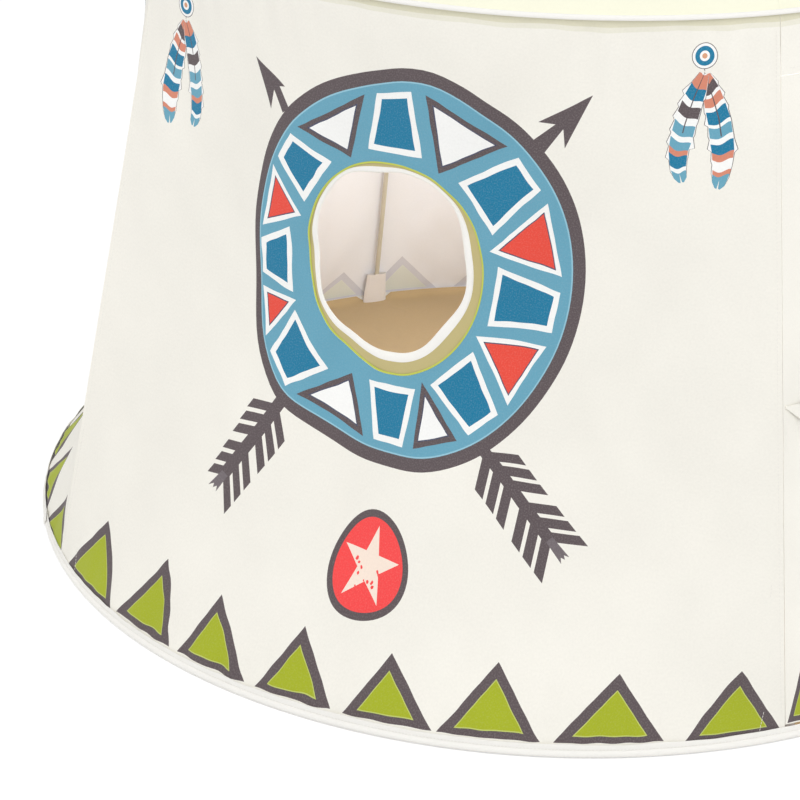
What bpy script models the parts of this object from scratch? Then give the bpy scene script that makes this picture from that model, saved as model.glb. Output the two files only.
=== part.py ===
"""Round play tent: four cloth wall panels held round by a hoop at the hem and a hoop at the eaves,
held up by four jointed poles, under a four-gore pointed roof. One wall panel has a round window, and
the front one has two tied-back door curtains that swing on their pole seams.

Units are metres. The origin is on the ground at the tent's centre, +Z is up, and the door faces -Y.
An angle round the tent is measured from -Y towards +X.
"""

import math

import bmesh
import bpy
from mathutils import Vector

# Tent body
PANELS = 4
HEM_RADIUS = 0.593
EAVES_RADIUS = 0.465
WALL_HEIGHT = 0.72
ROOF_RISE = 0.635
CLOTH = 0.0008
CLEARANCE = 0.0003
SEAM_GAP = 0.0004

# How far a panel's cloth pulls in from its round hoops towards the flat line between its poles
WALL_PULL_SHARE = 0.58
ROOF_PULL_SHARE = 0.5
PULL_LOW_POWER = 1.0
PULL_HIGH_POWER = 1.25

# Hem: a rod hoop in a sewn tunnel whose two lips hold the wall's lower edge
HEM_ROD_RADIUS = 0.0028
HEM_EASE = 0.0005
HEM_TAPE = 0.0009
HEM_OUTER_LIP = 0.012
HEM_INNER_LIP = 0.0105
WALL_TUCK = 0.0035

# Eaves: a thin spring hoop in round piping, outside the joint of wall and roof
EAVES_ROD_RADIUS = 0.0015
EAVES_EASE = 0.00045
PIPING_CLOTH = 0.00065
PIPING_SLIT = 0.0006

# Each hoop's two ends meet in a flush sleeve
HOOP_SLEEVE_LENGTH = 0.05
HOOP_SLEEVE_WALL = 0.00035
HOOP_END_GAP = 0.0006
HOOP_SHOULDER = 0.0005

# Floor mat
FLOOR_THICKNESS = 0.003

# Poles
POLE_RADIUS = 0.003
POLE_LOWER_SHARE = 0.5
FERRULE_LENGTH = 0.075
FERRULE_WALL = 0.0009
SOCKET_DEPTH = 0.026
SOCKET_FLOOR = 0.008
SOCKET_WALL = 0.0022
ELBOW_INSET = 0.009
ELBOW_DROP = 0.009
ELBOW_SWELL = 0.0008
HUB_RADIUS = 0.017
HUB_SKIRT = 0.02
HUB_TIP_EASE = 0.0015
HUB_BORE_START = 0.013

# Corner pockets that the poles stand in
POCKET_WIDTH = 0.034
POCKET_HEIGHT = 0.044
POCKET_CLOTH = 0.0008
POCKET_TOP_SHARE = 0.8

# Roof
ROOF_TOP_RADIUS = 0.028
CAP_RADIUS = 0.075
CAP_CLOTH = 0.0012
CAP_TIP_RADIUS = 0.006

# Window: an oval hole, a little left of its panel's middle as seen from outside. The facing laps the
# cloth outside the hole's edge and shows inside it.
WINDOW_WIDTH = 0.192
WINDOW_HEIGHT = 0.225
WINDOW_CENTRE_HEIGHT = 0.4395
WINDOW_OFFSET = 0.0145
FACING_OUTER_WIDTH = 0.012
FACING_INNER_WIDTH = 0.0085
FACING_GAP = 0.00045
BINDING_WIDTH = 0.0075
BINDING_THICKNESS = 0.002

# Door
HEADER_HEIGHT = 0.06
CURTAIN_TOP_GAP = 0.004
CURTAIN_SILL_GAP = 0.006
CURTAIN_SEAM_OFFSET = 0.00045
CURTAIN_TOP_WIDTH = 0.25
CURTAIN_TIE_WIDTH = 0.062
CURTAIN_FOOT_WIDTH = 0.17
CURTAIN_FOLDS = 5
CURTAIN_FOLD_DEPTH = 0.0065
CURTAIN_FLAT_EDGE = 0.012
CURTAIN_FOOT_POWER = 3
CURTAIN_TOP_POWER = 2
TIE_HEIGHT = 0.34
TIE_BAND = 0.016
TIE_MARGIN = 0.004
TIE_THICKNESS = 0.0012
TIE_SEAM_END = 0.003
TIE_RAMP = 0.008

# Facets, and the points on the small arcs of turned outlines
RING_FACETS = 48
PANEL_COLUMNS = 12
PANEL_ROWS = 10
ROOF_ROWS = 6
WINDOW_COLUMNS = 2 * PANEL_COLUMNS
WINDOW_ROWS = 14
WINDOW_FACETS = 32
CURTAIN_COLUMNS = 30
CURTAIN_ROWS = 10
ROUND_FACETS = 12
HEM_ARC_POINTS = 5
HEM_BORE_POINTS = 10
PIPING_ARC_POINTS = 9
TIE_BEND_POINTS = 7
WINDOW_SOLVE_STEPS = 8
MERGE_DISTANCE = 0.00001

# Edges that turn more than this many degrees stay sharp
SHARP_SOLID = 40
SHARP_CLOTH = 60

# Worked out from the sizes above
PANEL_ANGLE = 2 * math.pi / PANELS
RING_STEP = 2 * math.pi / RING_FACETS
HEM_BORE = HEM_ROD_RADIUS + HEM_EASE
HEM_TUBE_RADIUS = HEM_BORE + HEM_TAPE
HEM_INNER_EDGE = HEM_RADIUS - HEM_TUBE_RADIUS
EAVES_BORE = EAVES_ROD_RADIUS + EAVES_EASE
PIPING_RADIUS = EAVES_BORE + PIPING_CLOTH
WALL_TOP_RADIUS = EAVES_RADIUS - PIPING_RADIUS - CLEARANCE - CLOTH / 2
WALL_FOOT = HEM_OUTER_LIP + CLEARANCE
WALL_SHOULDER = WALL_HEIGHT - PIPING_RADIUS
ROOF_SLOPE = ROOF_RISE / WALL_TOP_RADIUS
POLE_BORE = POLE_RADIUS + CLEARANCE
SOCKET_RADIUS = POLE_BORE + SOCKET_WALL
HUB_TIP_RADIUS = CAP_TIP_RADIUS + HUB_TIP_EASE
POCKET_DEPTH = 2 * (POLE_BORE + POCKET_CLOTH)
WINDOW_HALF_WIDTH = WINDOW_WIDTH / 2
WINDOW_HALF_HEIGHT = WINDOW_HEIGHT / 2
SEAMS = {
    "front_right": 0.5 * PANEL_ANGLE,
    "rear_right": 1.5 * PANEL_ANGLE,
    "rear_left": -1.5 * PANEL_ANGLE,
    "front_left": -0.5 * PANEL_ANGLE,
}
FACES = {"front": 0.0, "right": PANEL_ANGLE, "rear": 2 * PANEL_ANGLE, "left": -PANEL_ANGLE}

# Base colour, roughness and metallic value
FINISHES = {
    "wall_cloth": ((0.93, 0.91, 0.86), 0.9, 0.0),
    "roof_cloth": ((0.94, 0.93, 0.78), 0.9, 0.0),
    "hem_tape": ((0.93, 0.93, 0.92), 0.85, 0.0),
    "floor_cloth": ((0.58, 0.44, 0.28), 0.9, 0.0),
    "pocket_cloth": ((0.86, 0.84, 0.81), 0.8, 0.0),
    "facing_cloth": ((0.62, 0.53, 0.25), 0.9, 0.0),
    "fibreglass": ((0.45, 0.38, 0.27), 0.5, 0.0),
    "metal": ((0.6, 0.6, 0.62), 0.35, 1.0),
    "plastic": ((0.75, 0.74, 0.7), 0.45, 0.0),
}


def clear_scene():
    for old in list(bpy.data.objects):
        bpy.data.objects.remove(old, do_unlink=True)
    for old in list(bpy.data.collections):
        bpy.data.collections.remove(old)


def new_collection(name):
    made = bpy.data.collections.new(name)
    bpy.context.scene.collection.children.link(made)
    return made


clear_scene()
PARTS = new_collection("play_tent")
CUTTERS = new_collection("cutters")


def material(name):
    found = bpy.data.materials.get(name)
    if found:
        return found
    colour, roughness, metallic = FINISHES[name]
    made = bpy.data.materials.new(name)
    made.use_nodes = True
    shader = made.node_tree.nodes["Principled BSDF"]
    shader.inputs["Base Color"].default_value = (*colour, 1.0)
    shader.inputs["Roughness"].default_value = roughness
    shader.inputs["Metallic"].default_value = metallic
    made.diffuse_color = (*colour, 1.0)
    return made


def mesh_object(name, bm, finish):
    """A part with a finish, or a cutter where the finish is None."""
    mesh = bpy.data.meshes.new(name)
    bm.to_mesh(mesh)
    bm.free()
    thing = bpy.data.objects.new(name, mesh)
    if finish:
        PARTS.objects.link(thing)
        mesh.materials.append(material(finish))
    else:
        CUTTERS.objects.link(thing)
        thing.hide_render = True
        thing.display_type = "WIRE"
    return thing


def shade_round(thing, sharp=SHARP_SOLID):
    thing.data.shade_smooth()
    thing.data.set_sharp_from_angle(angle=math.radians(sharp))


def solidify(thing, thickness, offset=0.0):
    shell = thing.modifiers.new("thickness", "SOLIDIFY")
    shell.thickness = thickness
    shell.offset = offset


def boolean(thing, other, operation):
    step = thing.modifiers.new(operation.lower() + " " + other.name, "BOOLEAN")
    step.operation = operation
    step.solver = "EXACT"
    step.object = other


def turn(thing, facets):
    screw = thing.modifiers.new("turn", "SCREW")
    screw.steps = facets
    screw.render_steps = facets
    screw.use_merge_vertices = True
    screw.merge_threshold = MERGE_DISTANCE


def turned(name, outline, facets, finish, closed=True):
    """An outline of (radius, height) points turned round Z. A closed one is given anticlockwise."""
    bm = bmesh.new()
    points = [bm.verts.new((r, 0.0, z)) for r, z in reversed(outline)]
    for first, second in zip(points, points[1:]):
        bm.edges.new((first, second))
    if closed:
        bm.edges.new((points[-1], points[0]))
    thing = mesh_object(name, bm, finish)
    turn(thing, facets)
    return thing


def arc(centre, radius, start, end, count):
    """Points on an arc from one angle to another, in degrees."""
    x, y = centre
    angles = [math.radians(start + (end - start) * i / (count - 1)) for i in range(count)]
    return [(x + radius * math.cos(a), y + radius * math.sin(a)) for a in angles]


def around(angle, radius, height):
    return Vector((radius * math.sin(angle), -radius * math.cos(angle), height))


def cylinder(name, radius, depth, facets, finish):
    bm = bmesh.new()
    bmesh.ops.create_cone(
        bm, cap_ends=True, segments=facets, radius1=radius, radius2=radius, depth=depth
    )
    return mesh_object(name, bm, finish)


def rod(name, start, end, radius, finish, facets=ROUND_FACETS):
    """A round bar from one point to another."""
    run = end - start
    thing = cylinder(name, radius, run.length, facets, finish)
    thing.location = (start + end) / 2
    thing.rotation_euler = run.to_track_quat("Z", "Y").to_euler()
    shade_round(thing)
    return thing


def tube(name, start, end, bore, wall, finish):
    """A sleeve from one point to another."""
    run = end - start
    half = run.length / 2
    outline = [(bore, -half), (bore + wall, -half), (bore + wall, half), (bore, half)]
    thing = turned(name, outline, ROUND_FACETS, finish)
    thing.location = (start + end) / 2
    thing.rotation_euler = run.to_track_quat("Z", "Y").to_euler()
    return thing


def ring_facet(angle):
    """The radius at which a faceted ring lies at an angle, as a share of its full radius."""
    within = (angle % RING_STEP) - RING_STEP / 2
    return math.cos(RING_STEP / 2) / math.cos(within)


def pull_shape(share):
    """0 at each hoop, and 1 where the cloth between two poles pulls in most."""
    peak = PULL_LOW_POWER / (PULL_LOW_POWER + PULL_HIGH_POWER)
    most = peak**PULL_LOW_POWER * (1 - peak) ** PULL_HIGH_POWER
    return share**PULL_LOW_POWER * (1 - share) ** PULL_HIGH_POWER / most


def pulled_radius(angle, round_radius, amount):
    """A radius between the round one (0) and the flat line from pole to pole (1)."""
    within = (angle + PANEL_ANGLE / 2) % PANEL_ANGLE - PANEL_ANGLE / 2
    flat_radius = round_radius * math.cos(PANEL_ANGLE / 2) / math.cos(within)
    return round_radius + (flat_radius - round_radius) * amount


def cloth_radius(angle, low_radius, high_radius, share, pull):
    """Radius of a cloth's middle between two hoops; at the hoops it follows their facets."""
    share = min(max(share, 0.0), 1.0)
    round_radius = low_radius + (high_radius - low_radius) * share
    if share in (0.0, 1.0):
        return round_radius * ring_facet(angle)
    return pulled_radius(angle, round_radius, pull * pull_shape(share))


def wall_radius(angle, height):
    share = (height - WALL_FOOT) / (WALL_SHOULDER - WALL_FOOT)
    return cloth_radius(angle, HEM_RADIUS, WALL_TOP_RADIUS, share, WALL_PULL_SHARE)


def roof_line(radius):
    """Height of the roof cloth's middle along a seam, at a distance from the tent's axis."""
    return WALL_HEIGHT + CLEARANCE + (WALL_TOP_RADIUS - radius) * ROOF_SLOPE


def sheet(name, columns, rows, place, thickness, finish):
    """A cloth: a grid whose points a function puts in place by their column and row."""
    bm = bmesh.new()
    bmesh.ops.create_grid(bm, x_segments=columns, y_segments=rows, size=0.5)
    for point in bm.verts:
        column = round((point.co.x + 0.5) * columns)
        row = round((point.co.y + 0.5) * rows)
        point.co = place(column, row)
    thing = mesh_object(name, bm, finish)
    solidify(thing, thickness)
    shade_round(thing, SHARP_CLOTH)
    return thing


def panel_angles(centre, columns, radius):
    """Angles across a panel, which stops a little short of each pole seam."""
    half = PANEL_ANGLE / 2 - SEAM_GAP / radius
    return [centre + half * (2 * i / columns - 1) for i in range(columns + 1)]


def wall_heights(bottom, top, rows):
    """Heights of a wall cloth's rows, with a row for each upright edge beside a hoop."""
    start = max(bottom, WALL_FOOT)
    end = min(top, WALL_SHOULDER)
    heights = [start + (end - start) * i / rows for i in range(rows + 1)]
    if bottom < start:
        heights.insert(0, bottom)
    if top > end:
        heights.append(top)
    return heights


def wall_panel(name, face, bottom, columns, rows):
    heights = wall_heights(bottom, WALL_HEIGHT - CLEARANCE, rows)

    def place(column, row):
        height = heights[row]
        seam_radius = wall_radius(PANEL_ANGLE / 2, height)
        angle = panel_angles(FACES[face], columns, seam_radius)[column]
        return around(angle, wall_radius(angle, height), height)

    return sheet(name, columns, len(heights) - 1, place, CLOTH, "wall_cloth")


def window_point(across, height, inset):
    """A point on the window panel's cloth, across the panel and up, set in towards the tent's axis."""
    off = 0.0
    for _ in range(WINDOW_SOLVE_STEPS):
        radius = wall_radius(FACES["left"] + off, height)
        off = math.asin(across / radius)
    return Vector((inset - radius * math.cos(off), -across, height))


def window_ring(name, inner, outer, thickness, inset, finish):
    """A flat ring that follows the cloth round the window, on its inside. Its edges are given by how
    far they lie outside the hole's edge."""

    def place(column, row):
        angle = 2 * math.pi * column / WINDOW_FACETS
        out = outer if row else inner
        across = (WINDOW_HALF_WIDTH + out) * math.cos(angle) - WINDOW_OFFSET
        height = WINDOW_CENTRE_HEIGHT + (WINDOW_HALF_HEIGHT + out) * math.sin(angle)
        return window_point(across, height, inset)

    thing = sheet(name, WINDOW_FACETS, 1, place, thickness, finish)
    bm = bmesh.new()
    bm.from_mesh(thing.data)
    bmesh.ops.remove_doubles(bm, verts=bm.verts, dist=MERGE_DISTANCE)
    bm.to_mesh(thing.data)
    bm.free()
    return thing


def hoop(name, ring_radius, height, rod_radius):
    """A round rod bent to a ring. Its necked ends meet in a flush sleeve at the rear."""
    sleeve_bore = rod_radius - HOOP_SLEEVE_WALL
    neck = (sleeve_bore - CLEARANCE) / rod_radius
    join_angle = math.pi + RING_STEP / 2
    middle = around(join_angle, ring_radius * math.cos(RING_STEP / 2), height)
    along = Vector((math.cos(join_angle), math.sin(join_angle), 0.0))
    neck_end = HOOP_SLEEVE_LENGTH / 2 + CLEARANCE
    start = [(HOOP_END_GAP / 2, neck), (neck_end, neck), (neck_end + HOOP_SHOULDER, 1.0)]
    route = [(middle + along * distance, share) for distance, share in start]
    for i in range(RING_FACETS):
        angle = join_angle + RING_STEP * (i + 0.5)
        route.append((around(angle, ring_radius, height), 1.0))
    route += [(middle - along * distance, share) for distance, share in reversed(start)]
    curve = bpy.data.curves.new(name, "CURVE")
    curve.dimensions = "3D"
    curve.twist_mode = "Z_UP"
    curve.bevel_depth = rod_radius
    curve.bevel_resolution = 1
    curve.use_fill_caps = True
    line = curve.splines.new("POLY")
    line.points.add(len(route) - 1)
    for point, (place, share) in zip(line.points, route):
        point.co = (*place, 1.0)
        point.radius = share
    curve.materials.append(material("metal"))
    PARTS.objects.link(bpy.data.objects.new(name, curve))
    half = along * HOOP_SLEEVE_LENGTH / 2
    tube(name + "_sleeve", middle - half, middle + half, sleeve_bore, HOOP_SLEEVE_WALL, "metal")


def hem_tunnel():
    """The sewn tunnel: a tube with two lips, and between them the slit that holds the wall's edge."""
    centre = (HEM_RADIUS, HEM_TUBE_RADIUS)
    slit = CLOTH / 2 + CLEARANCE
    lip = slit + HEM_TAPE
    lip_angle = math.degrees(math.acos(lip / HEM_TUBE_RADIUS))
    slit_angle = math.degrees(math.acos(slit / HEM_BORE))
    outline = arc(centre, HEM_TUBE_RADIUS, -90, lip_angle, HEM_ARC_POINTS)
    outline += [(HEM_RADIUS + lip, HEM_OUTER_LIP), (HEM_RADIUS + slit, HEM_OUTER_LIP)]
    outline += arc(centre, HEM_BORE, slit_angle, -180 - slit_angle, HEM_BORE_POINTS)
    outline += [(HEM_RADIUS - slit, HEM_INNER_LIP), (HEM_RADIUS - lip, HEM_INNER_LIP)]
    outline += arc(centre, HEM_TUBE_RADIUS, 180 - lip_angle, 270, HEM_ARC_POINTS)[:-1]
    turned("hem_tunnel", outline, RING_FACETS, "hem_tape")


def eaves_piping():
    """Round piping with its slit on the inside, against the joint of wall and roof."""
    centre = (EAVES_RADIUS, WALL_HEIGHT)
    outer_slit = math.degrees(math.asin(PIPING_SLIT / 2 / PIPING_RADIUS))
    inner_slit = math.degrees(math.asin(PIPING_SLIT / 2 / EAVES_BORE))
    outline = arc(centre, PIPING_RADIUS, -180 + outer_slit, 180 - outer_slit, PIPING_ARC_POINTS)
    outline += arc(centre, EAVES_BORE, 180 - inner_slit, -180 + inner_slit, PIPING_ARC_POINTS)
    turned("eaves_piping", outline, RING_FACETS, "hem_tape")


def walls():
    bottom = WALL_FOOT - WALL_TUCK
    wall_panel("wall_panel_rear", "rear", bottom, PANEL_COLUMNS, PANEL_ROWS)
    wall_panel("wall_panel_right", "right", bottom, PANEL_COLUMNS, PANEL_ROWS)
    window_wall = wall_panel("wall_panel_window", "left", bottom, WINDOW_COLUMNS, WINDOW_ROWS)
    reach = 2 * WINDOW_HALF_WIDTH
    cutter = cylinder("window_cutter", WINDOW_HALF_WIDTH, reach, WINDOW_FACETS, None)
    cutter.location = window_point(-WINDOW_OFFSET, WINDOW_CENTRE_HEIGHT, 0.0)
    cutter.rotation_euler = (0.0, math.pi / 2, 0.0)
    cutter.scale.x = WINDOW_HALF_HEIGHT / WINDOW_HALF_WIDTH
    boolean(window_wall, cutter, "DIFFERENCE")
    wall_panel("door_header", "front", WALL_HEIGHT - HEADER_HEIGHT, PANEL_COLUMNS, 2)
    inset = CLOTH + FACING_GAP
    window_ring("window_facing", -FACING_INNER_WIDTH, FACING_OUTER_WIDTH, CLOTH, inset, "facing_cloth")
    edge = -FACING_INNER_WIDTH - CLEARANCE
    window_ring("window_binding", edge - BINDING_WIDTH, edge, BINDING_THICKNESS, inset, "hem_tape")


def roof():
    rise = roof_line(ROOF_TOP_RADIUS) - roof_line(WALL_TOP_RADIUS)
    for face, centre in FACES.items():

        def place(column, row, centre=centre):
            share = row / ROOF_ROWS
            round_radius = WALL_TOP_RADIUS + (ROOF_TOP_RADIUS - WALL_TOP_RADIUS) * share
            angle = panel_angles(centre, PANEL_COLUMNS, round_radius)[column]
            radius = cloth_radius(angle, WALL_TOP_RADIUS, ROOF_TOP_RADIUS, share, ROOF_PULL_SHARE)
            return around(angle, radius, roof_line(WALL_TOP_RADIUS) + rise * share)

        sheet("roof_gore_" + face, PANEL_COLUMNS, ROOF_ROWS, place, CLOTH, "roof_cloth")
    lift = (CLOTH / 2 + CLEARANCE + CAP_CLOTH / 2) * math.hypot(1.0, ROOF_SLOPE)
    tip = roof_line(CAP_TIP_RADIUS) + lift
    outline = [(CAP_RADIUS, roof_line(CAP_RADIUS) + lift), (CAP_TIP_RADIUS, tip), (0.0, tip)]
    cap = turned("peak_cap", outline, RING_FACETS, "roof_cloth", closed=False)
    solidify(cap, CAP_CLOTH)


def curtain_place(side, along, out, height):
    """A point on a door curtain: a distance from its seam, one out from the cloth, and a height."""
    seam_radius = wall_radius(PANEL_ANGLE / 2, height)
    angle = PANEL_ANGLE / 2 - along / seam_radius
    place = around(angle, wall_radius(angle, height) + out, height)
    return Vector((side * place.x, place.y, place.z))


def curtain_rows(foot, top):
    """Heights of a curtain's rows, and its width at each: wide at the header, drawn in where the tie
    holds it, and hanging open again below."""
    waist_low = TIE_HEIGHT - TIE_BAND / 2 - TIE_MARGIN
    waist_high = TIE_HEIGHT + TIE_BAND / 2 + TIE_MARGIN
    half = CURTAIN_ROWS // 2

    def width(widest, share, power):
        return CURTAIN_TIE_WIDTH + (widest - CURTAIN_TIE_WIDTH) * (1 - (1 - share) ** power)

    rows = []
    for i in range(half + 1):
        share = 1 - i / half
        height = waist_low + (foot - waist_low) * share
        rows.append((height, width(CURTAIN_FOOT_WIDTH, share, CURTAIN_FOOT_POWER)))
    for i in range(half + 1):
        share = i / half
        height = waist_high + (top - waist_high) * share
        rows.append((height, width(CURTAIN_TOP_WIDTH, share, CURTAIN_TOP_POWER)))
    return rows


def curtain(name, side):
    """A drawn curtain with its main folds, sewn along the pole seam and free on its other edges."""
    foot = HEM_OUTER_LIP + CURTAIN_SILL_GAP
    top = WALL_HEIGHT - HEADER_HEIGHT - CURTAIN_TOP_GAP
    rows = curtain_rows(foot, top)

    def place(column, row):
        across = column / CURTAIN_COLUMNS
        height, width = rows[row]
        along = CURTAIN_SEAM_OFFSET + width * across
        rise = min(max((along - CURTAIN_FLAT_EDGE) / CURTAIN_FLAT_EDGE, 0.0), 1.0)
        out = CURTAIN_FOLD_DEPTH * rise * math.sin(2 * math.pi * CURTAIN_FOLDS * across)
        return curtain_place(side, along, out, height)

    sheet(name, CURTAIN_COLUMNS, len(rows) - 1, place, CLOTH, "wall_cloth")


def tie_back(name, side):
    """A strap from the seam round the gathered curtain and back, open where the cloth enters it."""
    out = CURTAIN_FOLD_DEPTH + CLOTH / 2 + CLEARANCE + TIE_THICKNESS / 2
    near = CLOTH / 2 + CLEARANCE + TIE_THICKNESS
    far_end = CURTAIN_SEAM_OFFSET + CURTAIN_TIE_WIDTH
    half_route = [(TIE_SEAM_END, near), (TIE_SEAM_END + TIE_RAMP, out), (far_end, out)]
    bend = arc((far_end, 0.0), out, 90, -90, TIE_BEND_POINTS)[1:-1]
    route = half_route + bend + [(along, -away) for along, away in reversed(half_route)]

    def place(column, row):
        along, away = route[column]
        return curtain_place(side, along, away, TIE_HEIGHT + TIE_BAND * (row - 0.5))

    sheet(name, len(route) - 1, 1, place, TIE_THICKNESS, "hem_tape")


def pole_foot(angle):
    """Where a wall pole's axis starts, inside its corner pocket on the floor mat."""
    lean = (HEM_RADIUS - WALL_TOP_RADIUS) / (WALL_SHOULDER - WALL_FOOT)
    height = FLOOR_THICKNESS + 2 * CLEARANCE + POCKET_CLOTH + POLE_RADIUS * lean
    return around(angle, HEM_INNER_EDGE - CLEARANCE - POCKET_DEPTH / 2, height)


def elbow_centre(angle):
    return around(angle, WALL_TOP_RADIUS - ELBOW_INSET, WALL_HEIGHT - ELBOW_DROP)


def socket_union(pieces, bores):
    """Joins solid pieces into one body, the first, and bores its sockets."""
    body = pieces[0]
    for piece in pieces[1:]:
        boolean(body, piece, "UNION")
    for bore in bores:
        boolean(body, bore, "DIFFERENCE")


def elbow(name, angle, foot, crown):
    """A moulded elbow at the eaves: a ball with a socket down the wall pole and one up the roof pole."""
    centre = elbow_centre(angle)
    reach = SOCKET_FLOOR + SOCKET_DEPTH
    bm = bmesh.new()
    swell = SOCKET_RADIUS + ELBOW_SWELL
    bmesh.ops.create_uvsphere(
        bm, u_segments=ROUND_FACETS, v_segments=ROUND_FACETS // 2, radius=swell
    )
    ball = mesh_object(name, bm, "plastic")
    ball.location = centre
    pieces = [ball]
    bores = []
    for tag, target in (("_wall", foot), ("_roof", crown)):
        way = (target - centre).normalized()
        arm = rod(name + tag + "_arm", centre, centre + way * reach, SOCKET_RADIUS, None)
        floor = centre + way * SOCKET_FLOOR
        mouth = centre + way * (reach + SOCKET_DEPTH)
        pieces.append(arm)
        bores.append(rod(name + tag + "_bore", floor, mouth, POLE_BORE, None))
    socket_union(pieces, bores)


def corner_pocket(name, angle, foot, way):
    """An open-topped pocket on the mat that leans with its pole."""
    base = FLOOR_THICKNESS + CLEARANCE
    tangent = Vector((math.cos(angle), math.sin(angle), 0.0))
    inward = around(angle, -1.0, 0.0)
    bm = bmesh.new()
    bmesh.ops.create_circle(bm, cap_ends=True, segments=ROUND_FACETS, radius=1.0)
    shares = {vertex: vertex.co.copy() for vertex in bm.verts}

    def place(vertices, height):
        grown = (height - base) / POCKET_HEIGHT
        width = POCKET_WIDTH / 2 * (1 + (POCKET_TOP_SHARE - 1) * grown)
        centre = foot + way * ((height - foot.z) / way.z)
        for vertex, share in vertices.items():
            vertex.co = centre + tangent * (share.x * width) + inward * (share.y * POCKET_DEPTH / 2)

    place(shares, base)
    for step in (0.5, 1.0):
        rim = [edge for edge in bm.edges if edge.is_boundary] or list(bm.edges)
        grown = bmesh.ops.extrude_edge_only(bm, edges=rim)["geom"]
        fresh = [v for v in grown if isinstance(v, bmesh.types.BMVert)]
        matched = {}
        for vertex in fresh:
            below = min(shares, key=lambda old: (old.co - vertex.co).length)
            matched[vertex] = shares[below]
        place(matched, base + POCKET_HEIGHT * step)
        shares = matched
    bmesh.ops.recalc_face_normals(bm, faces=bm.faces)
    pocket = mesh_object(name, bm, "pocket_cloth")
    solidify(pocket, POCKET_CLOTH, -1.0)
    shade_round(pocket, SHARP_CLOTH)


def frame_poles():
    """Wall poles in two ferruled lengths, eaves elbows, roof poles and their corner pockets."""
    crown_height = elbow_centre(0.0).z - elbow_centre(0.0).y * ROOF_SLOPE
    crown = Vector((0.0, 0.0, crown_height))
    hub_arms = []
    hub_bores = []
    for corner, angle in SEAMS.items():
        foot = pole_foot(angle)
        centre = elbow_centre(angle)
        way = (centre - foot).normalized()
        end = centre - way * (SOCKET_FLOOR + CLEARANCE)
        middle = foot + (end - foot) * POLE_LOWER_SHARE
        half_gap = way * CLEARANCE / 2
        rod("wall_pole_lower_" + corner, foot, middle - half_gap, POLE_RADIUS, "fibreglass")
        rod("wall_pole_upper_" + corner, middle + half_gap, end, POLE_RADIUS, "fibreglass")
        half = way * FERRULE_LENGTH / 2
        tube("pole_ferrule_" + corner, middle - half, middle + half, POLE_BORE, FERRULE_WALL, "metal")
        elbow("eaves_elbow_" + corner, angle, foot, crown)
        corner_pocket("corner_pocket_" + corner, angle, foot, way)
        up = (crown - centre).normalized()
        bore_start = crown - up * (HUB_BORE_START / math.hypot(up.x, up.y))
        first = centre + up * (SOCKET_FLOOR + CLEARANCE)
        rod("roof_pole_" + corner, first, bore_start - up * CLEARANCE, POLE_RADIUS, "fibreglass")
        arm_start = crown - up * SOCKET_RADIUS
        arm_end = bore_start - up * SOCKET_DEPTH
        hub_arms.append(rod("hub_arm_" + corner, arm_start, arm_end, SOCKET_RADIUS, None))
        bore_end = arm_end - up * SOCKET_DEPTH
        hub_bores.append(rod("hub_bore_" + corner, bore_start, bore_end, POLE_BORE, None))
    socket_union([crown_hub()] + hub_arms, hub_bores)


def crown_hub():
    """The hub's body: a short drum whose cone lies just under the cap that rests on it."""
    shoulder = roof_line(HUB_RADIUS) + CLOTH / 2 * math.hypot(1.0, ROOF_SLOPE)
    tip = shoulder + (HUB_RADIUS - HUB_TIP_RADIUS) * ROOF_SLOPE
    low = shoulder - HUB_SKIRT
    rim = [(HUB_RADIUS, low), (HUB_RADIUS, shoulder), (HUB_TIP_RADIUS, tip)]
    outline = [(0.0, low)] + rim + [(0.0, tip)]
    return turned("crown_hub", outline, RING_FACETS // 2, "plastic", closed=False)


def floor_mat():
    radius = HEM_INNER_EDGE - CLEARANCE
    mat = cylinder("floor_mat", radius, FLOOR_THICKNESS, RING_FACETS, "floor_cloth")
    mat.location = (0.0, 0.0, FLOOR_THICKNESS / 2)


hoop("hem_hoop", HEM_RADIUS, HEM_TUBE_RADIUS, HEM_ROD_RADIUS)
hoop("eaves_hoop", EAVES_RADIUS, WALL_HEIGHT, EAVES_ROD_RADIUS)
hem_tunnel()
eaves_piping()
floor_mat()
walls()
roof()
frame_poles()
for curtain_side, sign in (("left", -1), ("right", 1)):
    curtain("door_curtain_" + curtain_side, sign)
    tie_back("tie_back_" + curtain_side, sign)
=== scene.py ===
"""Round play tent: the look of the cloth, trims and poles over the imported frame.

Units are metres, +Z up, the door faces -Y. An angle round the tent is measured from -Y towards +X.
A wall cloth's flat coordinates are x, along the cloth from the panel's middle to the right as seen
from outside, and z, the height. The print is drawn in them, in millimetres. On the window's panel
its shapes and places were read off the photo.
"""

import math

import bpy
import numpy as np
from mathutils import Matrix, Vector
from mathutils.geometry import delaunay_2d_cdt


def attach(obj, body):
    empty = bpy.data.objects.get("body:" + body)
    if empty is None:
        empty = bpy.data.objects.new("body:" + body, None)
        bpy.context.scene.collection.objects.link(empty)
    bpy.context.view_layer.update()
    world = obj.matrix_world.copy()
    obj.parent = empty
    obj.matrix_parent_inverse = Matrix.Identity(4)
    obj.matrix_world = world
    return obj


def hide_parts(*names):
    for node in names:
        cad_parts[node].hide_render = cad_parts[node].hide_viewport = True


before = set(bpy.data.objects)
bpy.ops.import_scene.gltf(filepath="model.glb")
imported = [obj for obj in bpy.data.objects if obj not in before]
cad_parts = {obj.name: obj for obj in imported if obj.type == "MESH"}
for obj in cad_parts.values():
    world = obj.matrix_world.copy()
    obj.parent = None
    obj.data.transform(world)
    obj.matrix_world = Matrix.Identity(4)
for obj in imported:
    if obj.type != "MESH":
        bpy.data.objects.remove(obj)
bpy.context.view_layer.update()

# The tent's sizes, as in the CAD source
PANEL_ANGLE = math.pi / 2
HALF_ANGLE = PANEL_ANGLE / 2
HEM_RADIUS = 0.593
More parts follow.
